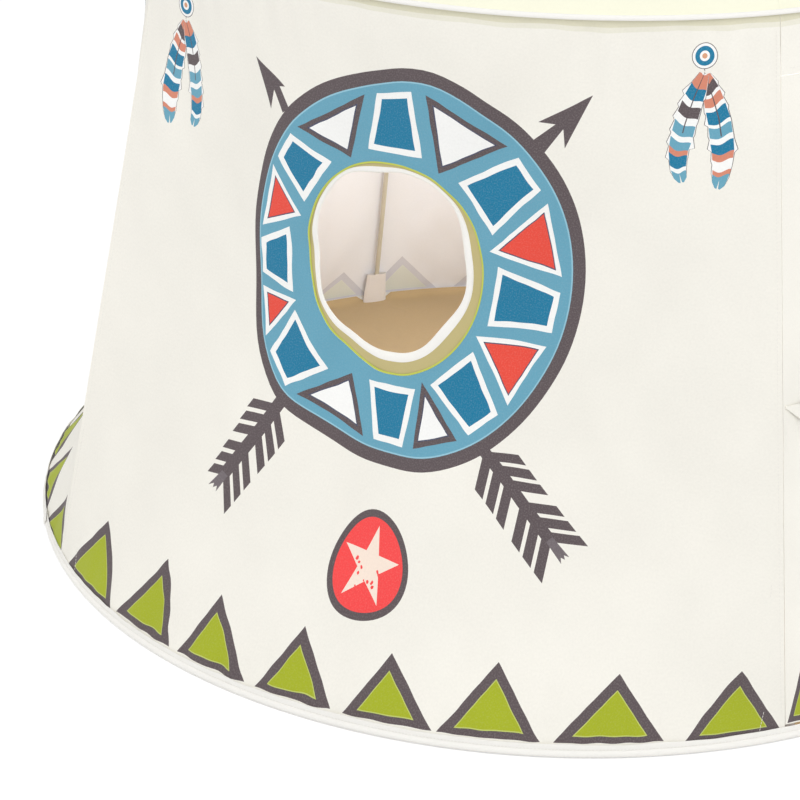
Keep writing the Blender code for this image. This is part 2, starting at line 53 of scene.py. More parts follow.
WALL_TOP_RADIUS = 0.4617
EAVES_RADIUS = 0.465
WALL_HEIGHT = 0.72
WALL_FOOT = 0.0123
WALL_SHOULDER = 0.7174
WALL_LOW_EDGE = 0.0088
WALL_TOP_EDGE = 0.7197
ROOF_RISE = 0.635
ROOF_TOP_RADIUS = 0.028
ROOF_SLOPE = ROOF_RISE / WALL_TOP_RADIUS
ROOF_SLANT = math.hypot(1.0, ROOF_SLOPE)
WALL_PULL_SHARE = 0.58
ROOF_PULL_SHARE = 0.5
PULL_LOW_POWER = 1.0
PULL_HIGH_POWER = 1.25
CLOTH = 0.0008
CLEARANCE = 0.0003
SEAM_GAP = 0.00005
DOOR_SEAM_GAP = 0.0005
HEM_TUBE_RADIUS = 0.0042
HEM_OUTER_LIP = 0.012
HEM_INNER_LIP = 0.0105
HEM_INNER_EDGE = 0.5888
HEM_TAPE = 0.0009
HEM_BULGE = 0.0003
HEM_STITCH_HEIGHT = 0.0095
PIPING_RADIUS = 0.0026
PIPING_BORE = 0.00195
TRIM_GAP = 0.00045
FLOOR_THICKNESS = 0.003
HEADER_HEIGHT = 0.06
CAP_RADIUS = 0.075
CAP_CLOTH = 0.0012
CAP_TIP_RADIUS = 0.006
POLE_RADIUS = 0.003
POLE_HEAD = (WALL_TOP_RADIUS - 0.009, 0.711)
POCKET_WIDTH = 0.034
POCKET_HEIGHT = 0.044
POCKET_CLOTH = 0.0008
POCKET_TOP_SHARE = 0.8
POCKET_DEPTH = 0.0082
POCKET_SLACK = 0.0006

# A curtain's tie, its width there, and what it gains by its top and by its foot
TIE_HEIGHT = 0.34
TIE_BAND = 0.016
TIE_REACH = 0.012
TIE_WIDTH = 0.062
TOP_SPREAD = 0.188
FOOT_SPREAD = 0.108
CURTAIN_GAP = 0.00045
CURTAIN_FOOT = HEM_OUTER_LIP + 0.0046
CURTAIN_TOP = WALL_HEIGHT - HEADER_HEIGHT - 0.0009

# Angles round the tent of the middles of its faces, and of its poles
FACES = {"front": 0.0, "right": PANEL_ANGLE, "rear": 2 * PANEL_ANGLE, "left": -PANEL_ANGLE}
CORNERS = {
    "front_right": 0.5 * PANEL_ANGLE,
    "rear_right": 1.5 * PANEL_ANGLE,
    "rear_left": -1.5 * PANEL_ANGLE,
    "front_left": -0.5 * PANEL_ANGLE,
}

# Spacing of the points in a cloth's mesh, in metres
WALL_STEP = 0.006
PLAIN_STEP = 0.009
CURTAIN_STEP = 0.0055

# Soft ridges in the cloth where it wraps a pole, and the stitches beside a wall's seam
WALL_RIDGE = 0.0012
ROOF_RIDGE = 0.001
RIDGE_WIDTH = 0.006
ROOF_RIDGE_END = (0.17, 0.3)
STITCH_OFF = 0.0045
ROOF_LEAN = 0.7


def colour(red, green, blue):
    """A colour given in 0 to 255 as it shows, in the linear values that shaders take."""
    shares = [v / 255 for v in (red, green, blue)]
    return tuple(s / 12.92 if s <= 0.04045 else ((s + 0.055) / 1.055) ** 2.4 for s in shares)


CREAM = colour(247, 244, 235)
BROWN = colour(95, 84, 87)
FADED_BROWN = colour(116, 107, 111)
# Painted shade under the eaves piping, on the top of the walls and the header: a darker band, and a paler
# step below it
EAVES_PAINTED_SHADE = colour(224, 220, 196)
EAVES_PAINTED_SHADE_FADE = colour(238, 235, 220)
DARK_BLUE = colour(22, 124, 163)
LIGHT_BLUE = colour(106, 168, 192)
PALE_BLUE = colour(150, 200, 218)
RED = colour(238, 78, 62)
STAR_RED = colour(252, 76, 76)
STAR_CREAM = colour(253, 234, 219)
GREEN = colour(169, 181, 36)
PALE_GREEN = colour(196, 206, 110)
SALMON = colour(219, 139, 114)
DOT_TAN = colour(222, 162, 126)
WHITE = colour(252, 252, 250)
NAVY = colour(72, 78, 104)

# The surfaces of the walls and the roof


def pull_shape(share):
    """How much of its pull a cloth has at a share of its height: 0 at both ends and 1 at most."""
    peak = PULL_LOW_POWER / (PULL_LOW_POWER + PULL_HIGH_POWER)
    most = peak**PULL_LOW_POWER * (1 - peak) ** PULL_HIGH_POWER
    share = np.clip(share, 0.0, 1.0)
    return share**PULL_LOW_POWER * (1 - share) ** PULL_HIGH_POWER / most


def pulled_radius(angle, round_radius, amount):
    """The radius of a cloth that is pulled part of the way from round to flat between two poles."""
    within = (angle + HALF_ANGLE) % PANEL_ANGLE - HALF_ANGLE
    flat_radius = round_radius * math.cos(HALF_ANGLE) / np.cos(within)
    return round_radius + (flat_radius - round_radius) * amount


def round_wall_radius(height):
    share = np.clip((height - WALL_FOOT) / (WALL_SHOULDER - WALL_FOOT), 0.0, 1.0)
    return HEM_RADIUS + (WALL_TOP_RADIUS - HEM_RADIUS) * share


def wall_radius(angle, height):
    """The radius of the taut walls at an angle round the tent."""
    share = np.clip((height - WALL_FOOT) / (WALL_SHOULDER - WALL_FOOT), 0.0, 1.0)
    return pulled_radius(angle, round_wall_radius(height), WALL_PULL_SHARE * pull_shape(share))


def roof_line(radius):
    """The height of the roof along its seams."""
    return WALL_HEIGHT + CLEARANCE + (WALL_TOP_RADIUS - radius) * ROOF_SLOPE


def around(angle, radius, height):
    """Points as rows of x, y, z."""
    angle, radius, height = np.broadcast_arrays(angle, radius, height)
    return np.stack([radius * np.sin(angle), -radius * np.cos(angle), height], axis=-1)


def smooth_step(value, low, high):
    t = np.clip((value - low) / (high - low), 0.0, 1.0)
    return t * t * (3 - 2 * t)


def bump(value, middle, width):
    return np.exp(-(((value - middle) / width) ** 2))


def wander(x, z, scale, seed, stretch=1.0):
    """Smooth irregular waves from about -1 to 1, scale metres long across and stretched along z."""
    total = np.zeros(np.broadcast(x, z).shape)
    rng = np.random.default_rng(seed)
    for _ in range(7):
        start = rng.uniform(0, math.tau)
        lean = rng.uniform(-1, 1)
        size = scale * rng.uniform(0.7, 1.6)
        total = total + np.sin(math.tau * (x / size + lean * z / (size * stretch)) + start)
    return total / 3.2


def flat_rows(u, v):
    """Flat coordinates as rows of u, v."""
    return np.stack(np.broadcast_arrays(u, v), axis=-1)


def wall_folds(face, x, z):
    """How far a wall cloth stands out from its taut surface: drags under the eaves, puckers at the
    hem, slow waves between, creases at the window and a soft ridge where it wraps each pole."""
    seed = {"front": 5, "right": 17, "rear": 29, "left": 41}[face]
    to_seam = HALF_ANGLE * round_wall_radius(z) - np.abs(x)
    top = WALL_SHOULDER - z
    foot = z - WALL_FOOT
    drags = 0.0015 * np.exp(-top / 0.06) * wander(x, z, 0.038, seed, 6.0)
    puckers = 0.0018 * np.exp(-foot / 0.03) * wander(x, z, 0.034, seed + 1, 3.0)
    slow = 0.0036 * wander(x, z, 0.2, seed + 2, 1.4)
    slow = slow * smooth_step(top, 0.0, 0.15) * smooth_step(foot, 0.0, 0.15)
    small = 0.0012 * wander(x, z, 0.08, seed + 3, 1.2)
    small = small * smooth_step(top, 0.0, 0.05) * smooth_step(foot, 0.0, 0.03)
    calm = smooth_step(to_seam, 0.0, 0.045)
    ends = smooth_step(top, 0.0, 0.012) * smooth_step(foot, -0.002, 0.008)
    ridge = WALL_RIDGE * bump(to_seam, 0.0, RIDGE_WIDTH)
    creases = window_creases(x, z) if face == "left" else 0.0
    return (drags + (puckers + slow + small + creases) * calm + ridge) * ends


def window_creases(x, z):
    """Creases that run out from the window's edge and die away over a few centimetres."""
    across, up = x - WINDOW_CENTRE[0] / 1000, z - WINDOW_CENTRE[1] / 1000
    turn = np.arctan2(up, across)
    off = np.abs(np.hypot(across, up) - WINDOW_RADIUS / 1000)
    waves = np.sin(7 * turn + 1.0) + 0.8 * np.sin(12 * turn + 4.0 + 30 * off) + 0.6 * np.sin(19 * turn + 2.0)
    return 0.0006 * np.exp(-off / 0.03) * waves


def wall_point(face, x, z, far_in=0.0):
    """Points of a wall cloth from its flat coordinates, set in towards the tent's axis."""
    angle = FACES[face] + x / round_wall_radius(z)
    return around(angle, wall_radius(angle, z) + wall_folds(face, x, z) - far_in, z)


# Making pieces


def add_piece(name, points, faces, materials, uv=None, colours=None, slots=None):
    """A mesh object. uv has a row for each point, colours and slots one for each face."""
    mesh = bpy.data.meshes.new(name)
    mesh.from_pydata([tuple(p) for p in points], [], [tuple(int(i) for i in f) for f in faces])
    for each in materials:
        mesh.materials.append(each)
    if slots is not None:
        mesh.polygons.foreach_set("material_index", slots)
    corner = np.zeros(len(mesh.loops), dtype=np.int32)
    mesh.loops.foreach_get("vertex_index", corner)
    if uv is not None:
        layer = mesh.uv_layers.new(name="flat")
        layer.data.foreach_set("uv", np.asarray(uv, dtype=np.float32)[corner].ravel())
    if colours is not None:
        counts = np.zeros(len(mesh.polygons), dtype=np.int32)
        mesh.polygons.foreach_get("loop_total", counts)
        shown = np.ones((len(mesh.loops), 4), dtype=np.float32)
        shown[:, :3] = np.repeat(np.asarray(colours, dtype=np.float32), counts, axis=0)
        mesh.color_attributes.new("print", "FLOAT_COLOR", "CORNER").data.foreach_set(
            "color", shown.ravel()
        )
    mesh.shade_smooth()
    mesh.set_sharp_from_angle(angle=1.0)
    piece = bpy.data.objects.new(name, mesh)
    bpy.context.scene.collection.objects.link(piece)
    return piece


def add_cloth(name, points, faces, thickness, materials, uv, colours=None):
    """A cloth with its thickness, from the points and faces of its middle surface. The second
    material is its inner side's. With no thickness it is the surface as given."""
    points, uv = np.reshape(points, (-1, 3)), np.reshape(uv, (-1, 2))
    if not thickness:
        return add_piece(name, points, faces, materials, uv, colours)
    faces = [tuple(int(i) for i in f) for f in faces]
    middle = bpy.data.meshes.new(name + "_middle")
    middle.from_pydata([tuple(p) for p in points], [], faces)
    normals = np.zeros(3 * len(points))
    middle.vertices.foreach_get("normal", normals)
    bpy.data.meshes.remove(middle)
    lift = normals.reshape(-1, 3) * thickness / 2
    count = len(points)
    fans = [(points[f[i]] - points[f[0]], points[f[i + 1]] - points[f[0]])
            for f in faces for i in range(1, len(f) - 1)]
    sum(float(np.linalg.norm(np.cross(a, b))) for a, b in fans) / 2
    sides = {(f[i - 1], f[i]) for f in faces for i in range(len(f))}
    rims = [(f[i - 1], f[i]) for f in faces for i in range(len(f)) if (f[i], f[i - 1]) not in sides]
    shell = faces + [tuple(i + count for i in reversed(f)) for f in faces]
    shell += [(b, a, a + count, b + count) for a, b in rims]
    slots = [0] * len(faces) + [len(materials) - 1] * len(faces) + [0] * len(rims)
    if colours is not None:
        colours = np.concatenate([colours, colours, np.tile(np.array(CREAM), (len(rims), 1))])
    return add_piece(name, np.concatenate([points + lift, points - lift]), shell, materials,
                     np.concatenate([uv, uv]), colours, slots)


def grid_faces(columns, rows, wrap=False):
    """Faces of a grid of points in rows of columns, anticlockwise as seen from outside."""
    faces = []
    width = columns if wrap else columns + 1
    for j in range(rows):
        for i in range(columns):
            a = j * width + i
            b = j * width + (i + 1) % width
            faces.append((a, b, b + width, a + width))
    return faces


def put(piece, body, slot, *nodes):
    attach(piece, body)
    if nodes:
        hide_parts(*nodes)
    return piece


def band(name, outline, count, closed, material, wobble=None, thickness=0.0):
    """An outline of (radius, height) points turned round the tent. wobble moves its points."""
    rows = len(outline)
    angles = math.tau * np.arange(count) / count
    points, uv = np.zeros((count, rows, 3)), np.zeros((count, rows, 2))
    run = 0.0
    for j, (radius, height) in enumerate(outline):
        if j:
            run += math.dist(outline[j], outline[j - 1])
        out, up = wobble(angles, radius, height) if wobble else (0.0, 0.0)
        points[:, j] = around(angles, radius + out, height + up)
        uv[:, j, 0] = angles * max(radius, 0.05)
        uv[:, j, 1] = run
    faces = []
    for i in range(count):
        k = (i + 1) % count
        for j in range(rows if closed else rows - 1):
            b = (j + 1) % rows
            faces.append((i * rows + j, k * rows + j, k * rows + b, i * rows + b))
    return add_cloth(name, points, faces, thickness, [material], uv)


def arc(centre, radius, start, end, count):
    """Points of (radius, height) on part of a circle, from start to end in degrees."""
    angles = [math.radians(start + (end - start) * i / (count - 1)) for i in range(count)]
    return [(centre[0] + radius * math.cos(a), centre[1] + radius * math.sin(a)) for a in angles]


def run_along(path):
    """The distance from a path's start to each of its points."""
    return np.concatenate([[0.0], np.cumsum(np.linalg.norm(np.diff(path, axis=0), axis=1))])


def stitches(name, path, turn, lean, material, length=0.0026, pitch=0.0038, thick=0.00042):
    """A row of thread stitches along a path of points, as one mesh. The cloth that they lie on faces
    out at an angle round the tent and leans up."""
    normals = around(np.broadcast_to(turn, len(path)), 1.0, lean)
    along = run_along(path)

    def at(values, s):
        return np.stack([np.interp(s, along, values[:, k]) for k in range(3)], axis=-1)

    points, faces = [], []
    profile = [(0.0, 0.25), (0.12, 0.8), (0.5, 1.0), (0.88, 0.8), (1.0, 0.25)]
    sides = 6
    tube = grid_faces(sides, len(profile) - 1, wrap=True)
    tube += [tuple(reversed(range(sides))), tuple(range(sides * (len(profile) - 1), sides * len(profile)))]
    for s in np.arange(0.001, along[-1] - length, pitch):
        faces += [tuple(len(points) + k for k in face) for face in tube]
        a, b, n = at(path, s), at(path, s + length), at(normals, s)
        n = n / np.linalg.norm(n)
        side = np.cross(b - a, n)
        side = side / np.linalg.norm(side)
        for share, wide in profile:
            middle = a + (b - a) * share + n * thick * 0.35 * (wide - 0.3)
            for k in range(sides):
                t = math.tau * k / sides
                points.append(middle + (side * math.cos(t) + n * math.sin(t) * 0.7) * thick / 2 * wide)
    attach(add_piece(name, points, faces, [material]), "root")


# Materials


class Tree:
    """Short names for building a material's nodes."""

    def __init__(self, name):
        self.material = bpy.data.materials.new(name)
        self.material.use_nodes = True
        self.tree = self.material.node_tree
        self.shader = self.tree.nodes["Principled BSDF"]

    def add(self, kind, settings=(), **inputs):
        node = self.tree.nodes.new(kind)
        for key, value in dict(settings).items():
            setattr(node, key, value)
        for key, value in inputs.items():
            self.feed(node.inputs[key.replace("_", " ")], value)
        return node

    def feed(self, socket, value):
        if isinstance(value, bpy.types.NodeSocket):
            self.tree.links.new(value, socket)
        else:
            socket.default_value = value

    def noise(self, place, scale, detail, **inputs):
        node = self.add("ShaderNodeTexNoise", Vector=place, Scale=scale, Detail=detail, **inputs)
        return node.outputs["Fac"]

    def math(self, operation, first, second=0.0):
        node = self.add("ShaderNodeMath", {"operation": operation})
        self.feed(node.inputs[0], first)
        self.feed(node.inputs[1], second)
        return node.outputs[0]

    def mix(self, factor, first, second, blend="MIX"):
        node = self.add("ShaderNodeMix", {"data_type": "RGBA", "blend_type": blend})
        for index, value in ((0, factor), (6, first), (7, second)):
            self.feed(node.inputs[index], (*value, 1.0)[:4] if isinstance(value, tuple) else value)
        return node.outputs[2]

    def spread(self, value, low, high):
        """Values from 0 to 1 spread from low to high."""
        return self.add("ShaderNodeMapRange", Value=value, To_Min=low, To_Max=high).outputs[0]

    def paint(self, shown, light):
        """The base colour, with its lightness multiplied by light."""
        grey = self.add("ShaderNodeCombineColor", Red=light, Green=light, Blue=light).outputs[0]
        self.feed(self.shader.inputs["Base Color"], self.mix(1.0, shown, grey, "MULTIPLY"))

    def set(self, **values):
        for key, value in values.items():
            self.feed(self.shader.inputs[key.replace("_", " ")], value)


def cloth(name, base=None, pitch=0.0011, weave=0.25, mottle_and_shade=0.03, rough=0.88, fade=0.0, tint=CREAM,
          crumple=0.0):
    """Woven cloth. Its colour is base, or the print that its mesh carries, faded towards a tint."""
    t = Tree(name)
    uv = t.add("ShaderNodeUVMap", {"uv_map": "flat"}).outputs[0]
    place = t.add("ShaderNodeTexCoord").outputs["Object"]
    shown = base
    if base is None:
        shown = t.add("ShaderNodeAttribute", {"attribute_name": "print"}).outputs["Color"]
        grey = t.add("ShaderNodeRGBToBW", Color=shown).outputs[0]
        specks = t.spread(t.noise(uv, 620.0, 4.0), -0.16, 0.18)
        worn = t.math("MULTIPLY", specks, t.math("SUBTRACT", 1.0, grey))
        shown = t.mix(t.math("MAXIMUM", worn, 0.0), shown, tint)
    if fade:
        shown = t.mix(fade, shown, tint)
    threads = [
        t.add("ShaderNodeTexWave", {"bands_direction": axis, "wave_profile": "SIN"}, Vector=uv,
              Scale=math.pi / 10 / pitch, Distortion=1.5, Detail=1.0, Detail_Scale=60.0).outputs["Fac"]
        for axis in ("X", "Y")
    ]
    woven = t.math("MAXIMUM", *threads)
    slub = t.noise(uv, 420.0, 3.0)
    # Cloudy lightness and slub: the cloth's own uneven tone. Where it is raised, as on the printed cloth, it
    # also stands in for the soft shading of creases, as painted shade
    cloud = t.noise(place, 9.0, 4.0)
    light = t.math("ADD", t.spread(cloud, -mottle_and_shade, mottle_and_shade), t.spread(slub, 1 - mottle_and_shade, 1 + mottle_and_shade))
    t.paint(shown, t.math("MULTIPLY", light, t.spread(woven, 1 - 0.08 * weave, 1.0)))
    height = t.math("ADD", t.math("MULTIPLY", woven, 0.6), t.math("MULTIPLY", slub, 0.5))
    bumps = t.add("ShaderNodeBump", Height=height, Strength=weave, Distance=0.0003)
    if crumple:
        bumps = t.add("ShaderNodeBump", Height=t.noise(place, 38.0, 3.0, Distortion=0.6), Strength=crumple,
                      Distance=0.004, Normal=bumps.outputs[0])
    t.set(Roughness=t.spread(slub, rough - 0.06, min(rough + 0.06, 1.0)), Sheen_Weight=0.12,
          Sheen_Roughness=0.6, Specular_IOR_Level=0.25, Normal=bumps.outputs[0])
    t.material.diffuse_color = (*(base or CREAM), 1.0)
    return t.material


def solid(name, base, rough, metallic=0.0, scale=90.0, vary=0.06, grain=0.1, stretch=(1, 1, 1), coat=0.0):
    """Moulded, drawn or pulled material: a base colour with grain, streaks and uneven gloss."""
    t = Tree(name)
    place = t.add("ShaderNodeTexCoord").outputs["Object"]
    shift = t.add("ShaderNodeMapping", Vector=place, Scale=stretch).outputs[0]
    fine = t.noise(shift, scale * 6, 4.0)
    broad = t.noise(shift, scale, 3.0)
    t.paint(base, t.math("ADD", t.spread(broad, 1 - vary, 1 + vary), t.spread(fine, -vary / 2, vary / 2)))
    t.set(Roughness=t.spread(broad, rough - 0.08, rough + 0.08), Metallic=metallic, Coat_Weight=coat,
          Normal=t.add("ShaderNodeBump", Height=fine, Strength=grain, Distance=0.0002).outputs[0])
    t.material.diffuse_color = (*base, 1.0)
    return t.material


# The printed cloth's mottling is raised above the others' so that its cloudy light and dark also stand in for
# the shading of the walls' soft creases: partly uneven tone, partly painted shade
PRINTED = cloth("printed_cotton", mottle_and_shade=0.055)
PRINTED_BACK = cloth("printed_cotton_back", fade=0.74, tint=colour(246, 243, 250))
ROOF = cloth("roof_cotton", base=colour(249, 248, 226))
ROOF_BACK = cloth("roof_cotton_back", base=colour(240, 236, 212))
TAPE = cloth("white_tape", base=colour(252, 250, 245), pitch=0.0009, weave=0.4, rough=0.8)
LINING = cloth("hem_lining", base=colour(240, 234, 228), pitch=0.0009, weave=0.3)
# The facing's olive is the cloth's colour as it shows in the shade inside the window's edge: partly the
# cloth's own colour, partly painted shade
SHADED_FACING = cloth("facing_cloth_painted_shade", base=colour(200, 186, 132), pitch=0.0009, weave=0.35, crumple=0.5)
LIME = cloth("lime_edge", base=colour(204, 214, 92), pitch=0.0007, weave=0.3)
TAN = cloth("floor_canvas", base=colour(190, 161, 120), pitch=0.0016, weave=0.5, crumple=0.35, mottle_and_shade=0.06)
NYLON = cloth("pocket_nylon", base=colour(238, 229, 224), pitch=0.0008, weave=0.3, rough=0.62, crumple=0.3)
THREAD = cloth("white_thread", base=colour(238, 235, 228), pitch=0.0006, weave=0.3, rough=0.7)
SEWN_BLUE = cloth("blue_thread", base=colour(120, 176, 196), pitch=0.0006, weave=0.3, rough=0.7)
FIBREGLASS = solid("pole_fibreglass", colour(206, 195, 174), 0.5, scale=60, stretch=(1, 1, 0.06), coat=0.15)
STEEL = solid("drawn_steel", colour(196, 197, 199), 0.3, metallic=1.0, scale=150, stretch=(1, 1, 0.1))
PLASTIC = solid("moulded_plastic", colour(226, 224, 216), 0.45, scale=40, vary=0.03, grain=0.15)

# The print, in millimetres of a wall cloth's flat coordinates

WINDOW_CENTRE = (-17.0, 438.5)
WINDOW_RADIUS = 112.5
RING_CENTRE = (0.0, 442.5)
SEAM_LEAN = 0.146


def polar(centre, degrees, radius):
    """A point at a direction clockwise from up."""
    a = math.radians(degrees)
    return (centre[0] + radius * math.sin(a), centre[1] + radius * math.cos(a))


def turn_bump(degrees, middle, width):
    return math.exp(-(((degrees - middle + 180) % 360 - 180) / width) ** 2)


def ring_reach(degrees):
    """The ring's outer radius. The cloth is slack at the lower left, so the print spreads there."""
    lean = 206.5 - 5 * math.cos(math.radians(degrees - 315))
    return lean + 28 * turn_bump(degrees, 232, 22) + 9 * turn_bump(degrees, 7, 14)


def ring_inner_reach(degrees):
    return ring_reach(degrees) - 13.5 + 6 * turn_bump(degrees, 265, 35)


def ring_outline(reach):
    return [polar(RING_CENTRE, 3 * i, reach(3 * i)) for i in range(120)]


def ring_place(degrees, share):
    """A point between the window's edge (0) and the ring's brown rim (1), seen from the window."""
    reach = 200.0
    for _ in range(16):
        x, z = polar(WINDOW_CENTRE, degrees, reach)
        x, z = x - RING_CENTRE[0], z - RING_CENTRE[1]
        reach += ring_inner_reach(math.degrees(math.atan2(x, z)) % 360) - math.hypot(x, z)
    return polar(WINDOW_CENTRE, degrees, WINDOW_RADIUS + share * (reach - WINDOW_RADIUS))


def inset(outline, distances):
    """A convex outline moved inwards, by one distance or one for each side."""
    if not hasattr(distances, "__len__"):
        distances = [distances] * len(outline)
    sides = list(zip(outline, outline[1:] + outline[:1]))
    sign = 1 if sum(a[0] * b[1] - b[0] * a[1] for a, b in sides) > 0 else -1
    lines = []
    for ((x1, z1), (x2, z2)), distance in zip(sides, distances):
        length = math.hypot(x2 - x1, z2 - z1)
        nx, nz = -(z2 - z1) / length * sign, (x2 - x1) / length * sign
        lines.append((nx, nz, nx * x1 + nz * z1 + distance))
    found = []
    for (a, b, c), (d, e, f) in zip(lines[-1:] + lines, lines):
        across = a * e - b * d
        found.append(((c * e - b * f) / across, (a * f - c * d) / across))
    return found


def circle(centre, radius, count):
    return [polar(centre, 360 * i / count, radius) for i in range(count)]


def wavy(outline, amount, seed, scale=30.0):
    """An outline resampled and moved a little, as by hand."""
    fine = resampled(outline, 5.0)
    x = np.array([p[0] for p in fine])
    z = np.array([p[1] for p in fine])
    moved_x = x + amount * wander(x, z, scale, seed)
    moved_z = z + amount * wander(z, x, scale, seed + 1)
    return list(zip(moved_x.tolist(), moved_z.tolist()))


def frame_map(origin, right, down):
    """A drawing frame on the cloth: a function from (right, down) to flat coordinates. For the
    arrows a step right or down is what one pixel of the photo spans there, and their corners were
    read off the photo in such steps."""

    def place(points):
        return [
            (origin[0] + u * right[0] + v * down[0], origin[1] + u * right[1] + v * down[1])
            for u, v in points
        ]

    return place


def ring_print():
    """The ring of blocks and wedges round the window."""
    shapes = [(BROWN, ring_outline(ring_reach)), (PALE_BLUE, ring_outline(ring_inner_reach)),
              (LIGHT_BLUE, ring_outline(lambda degrees: ring_inner_reach(degrees) - 1.6))]
    blocks = (2, 52, 96, 139, 177, 228, 264, 309)
    for i, middle in enumerate(blocks):
        low = 0.17 + 0.27 * turn_bump(middle, 245, 35)
        high = 0.88 + 0.08 * turn_bump(middle, 255, 50)
        corners = [(-14.5, low), (14.5, low), (6.0, high), (-6.0, high)]
        block = [ring_place(middle + off, share) for off, share in corners]
        shapes.append((WHITE, wavy(block, 0.5, 100 + i)))
        shapes.append((DARK_BLUE, wavy(inset(block, 6.5), 0.5, 120 + i)))
        gap = (blocks[(i + 1) % len(blocks)] - middle) % 360
        centre = middle + gap / 2
        half = gap / 2 - 10.5
        deep = 0.1 + 0.25 * turn_bump(centre, 235, 45)
        high = 0.88 + 0.08 * turn_bump(centre, 255, 50)
        wedge = [ring_place(centre - half, high), ring_place(centre, deep), ring_place(centre + half, high)]
        edge, fill, line = (WHITE, RED, 4.8) if i in (1, 2, 5, 6) else (BROWN, WHITE, 5.0)
        shapes.append((edge, wavy(wedge, 0.4, 140 + i)))
        shapes.append((NAVY, wavy(inset(wedge, line), 0.4, 160 + i)))
        shapes.append((fill, wavy(inset(wedge, line + 1.2), 0.4, 160 + i)))
    return shapes


def arrow_head(place, tip, barbs, notch, shaft, foot):
    """A swept-back head on a shaft that widens to its foot."""
    head = [tip, barbs[0], notch[0], notch[1], barbs[1]]
    return [(BROWN, place(head)), (BROWN, place([shaft[0], foot[0], foot[1], shaft[1]]))]


def arrow_tail(place, axis, start, left, right, sizes, tail):
    """Fletching: two groups of three bars on each side of a shaft, and a pale notched end."""
    pitch, thick, gap, left_length, left_end, right_length = sizes
    shapes = []
    half = 6.0
    side = (-axis[1], axis[0])

    def on(s, off=0.0):
        return (start[0] + axis[0] * s + side[0] * off, start[1] + axis[1] * s + side[1] * off)

    end = 5 * pitch + gap + thick
    shapes.append((BROWN, place([on(-6, -half), on(-6, half), on(end, half), on(end, -half)])))
    for bar in range(6):
        s = bar * pitch + (gap if bar > 2 else 0.0)
        left_here = left_length + (left_end - left_length) * bar / 5
        for way, length in ((left, left_here), (right, right_length)):
            near = [on(s), on(s + thick)]
            far = [(p[0] + way[0] * length, p[1] + way[1] * length) for p in near]
            shapes.append((BROWN, place([near[0], near[1], far[1], far[0]])))
    last = end + tail
    notch = [on(end - 3, -4), on(end - 3, 4), on(last, 5.5), on(last - 5, 2), on(last - 1, 0),
             on(last - 5, -2), on(last, -5)]
    shapes.append((FADED_BROWN, place(notch)))
    return shapes


def arrows_print():
    """The crossed arrows: two heads over the ring and two tails under it."""
    shapes = []
    place = frame_map((-165.5, 609.0), (1.46, 0.32), (-0.16, -1.06))
    shapes += arrow_head(place, (-11.8, -24.8), ((16.0, 6.0), (2.5, 28.2)), ((9.0, 5.5), (5.5, 8.5)),
                         ((3.5, 4.0), (8.5, 1.0)), ((15.0, 32.0), (21.5, 28.0)))
    place = frame_map((163.0, 617.0), (0.98, 0.05), (0.11, -1.03))
    shapes += arrow_head(place, (32.3, -24.5), ((-22.0, 2.5), (5.0, 27.5)), ((-3.0, 4.0), (3.5, 9.0)),
                         ((1.0, 0.0), (7.0, 4.0)), ((-31.0, 23.0), (-19.0, 36.0)))
    place = frame_map((164.8, 222.1), (1.11, 0.09), (0.11, -0.95))
    shapes += arrow_tail(place, (0.62, 0.785), (-40.0, -52.0), (-0.22, 0.975), (0.99, 0.11),
                         (18.6, 13.4, 8.5, 41.0, 41.0, 37.0), 23.0)
    place = frame_map((-194.5, 216.7), (1.4, 0.33), (0.28, -0.97))
    shapes += arrow_tail(place, (-0.64, 0.77), (36.0, -43.0), (-0.98, -0.19), (0.06, 0.998),
                         (15.4, 10.6, 5.5, 28.0, 17.0, 38.0), 17.0)
    return shapes


def star_print():
    """A worn star in a disc, under the window."""
    centre = (-4.5, 138.0)
    shapes = []
    for fill, radius, uneven in ((BROWN, 50, 1.8), (STAR_RED, 43, 1.6)):
        reach = [radius + uneven * math.cos(math.radians(18 * i + 20)) for i in range(60)]
        shapes.append((fill, [polar(centre, 6 * i, reach[i]) for i in range(60)]))
    star = [polar(centre, 5 + 36 * i, 14.5 if i % 2 else 38.0) for i in range(10)]
    shapes.append((STAR_CREAM, star))
    rng = np.random.default_rng(3)
    for _ in range(16):
        middle = polar(centre, rng.uniform(90, 300), rng.uniform(9, 24))
        size = rng.uniform(0.7, 2.2)
        worn = [polar(middle, 60 * k, size * rng.uniform(0.6, 1.4)) for k in range(6)]
        shapes.append((STAR_RED, worn))
    return shapes


def border_print(rows, seed=200, lift=0.0):
    """Triangles from rows of left, apex, right and height, with a pale line inside each edge."""
    shapes = []
    for i, (left, apex, right, height) in enumerate(rows):
        base = (15.0 if abs(apex) < 350 else 12.0) + lift
        outline = [(left, base), (right, base), (apex, height + lift)]
        inner = inset(outline, (5.5, 9.5, 9.0))
        amount = 0.35 + 0.06 * lift + (0.5 if -330 < apex < -20 else 0.0)
        for fill, shape in ((BROWN, outline), (PALE_GREEN, inner), (GREEN, inset(inner, 0.9))):
            shapes.append((fill, wavy(shape, amount, seed + 3 * i)))
    return shapes


REAR_BORDER = ((-408, 60), (-290, 72), (-172, 76), (-57, 76), (57, 76), (190, 84), (308, 74), (429, 72))
RIGHT_BORDER = ((-399, 76), (-285, 76), (-171, 76), (-57, 76), (57, 76), (176, 76), (296, 76), (423, 74))


def plain_border(places):
    """Rows for border_print from the middles and heights of its triangles."""
    return [(middle - 52, middle - 2, middle + 52, height) for middle, height in places]


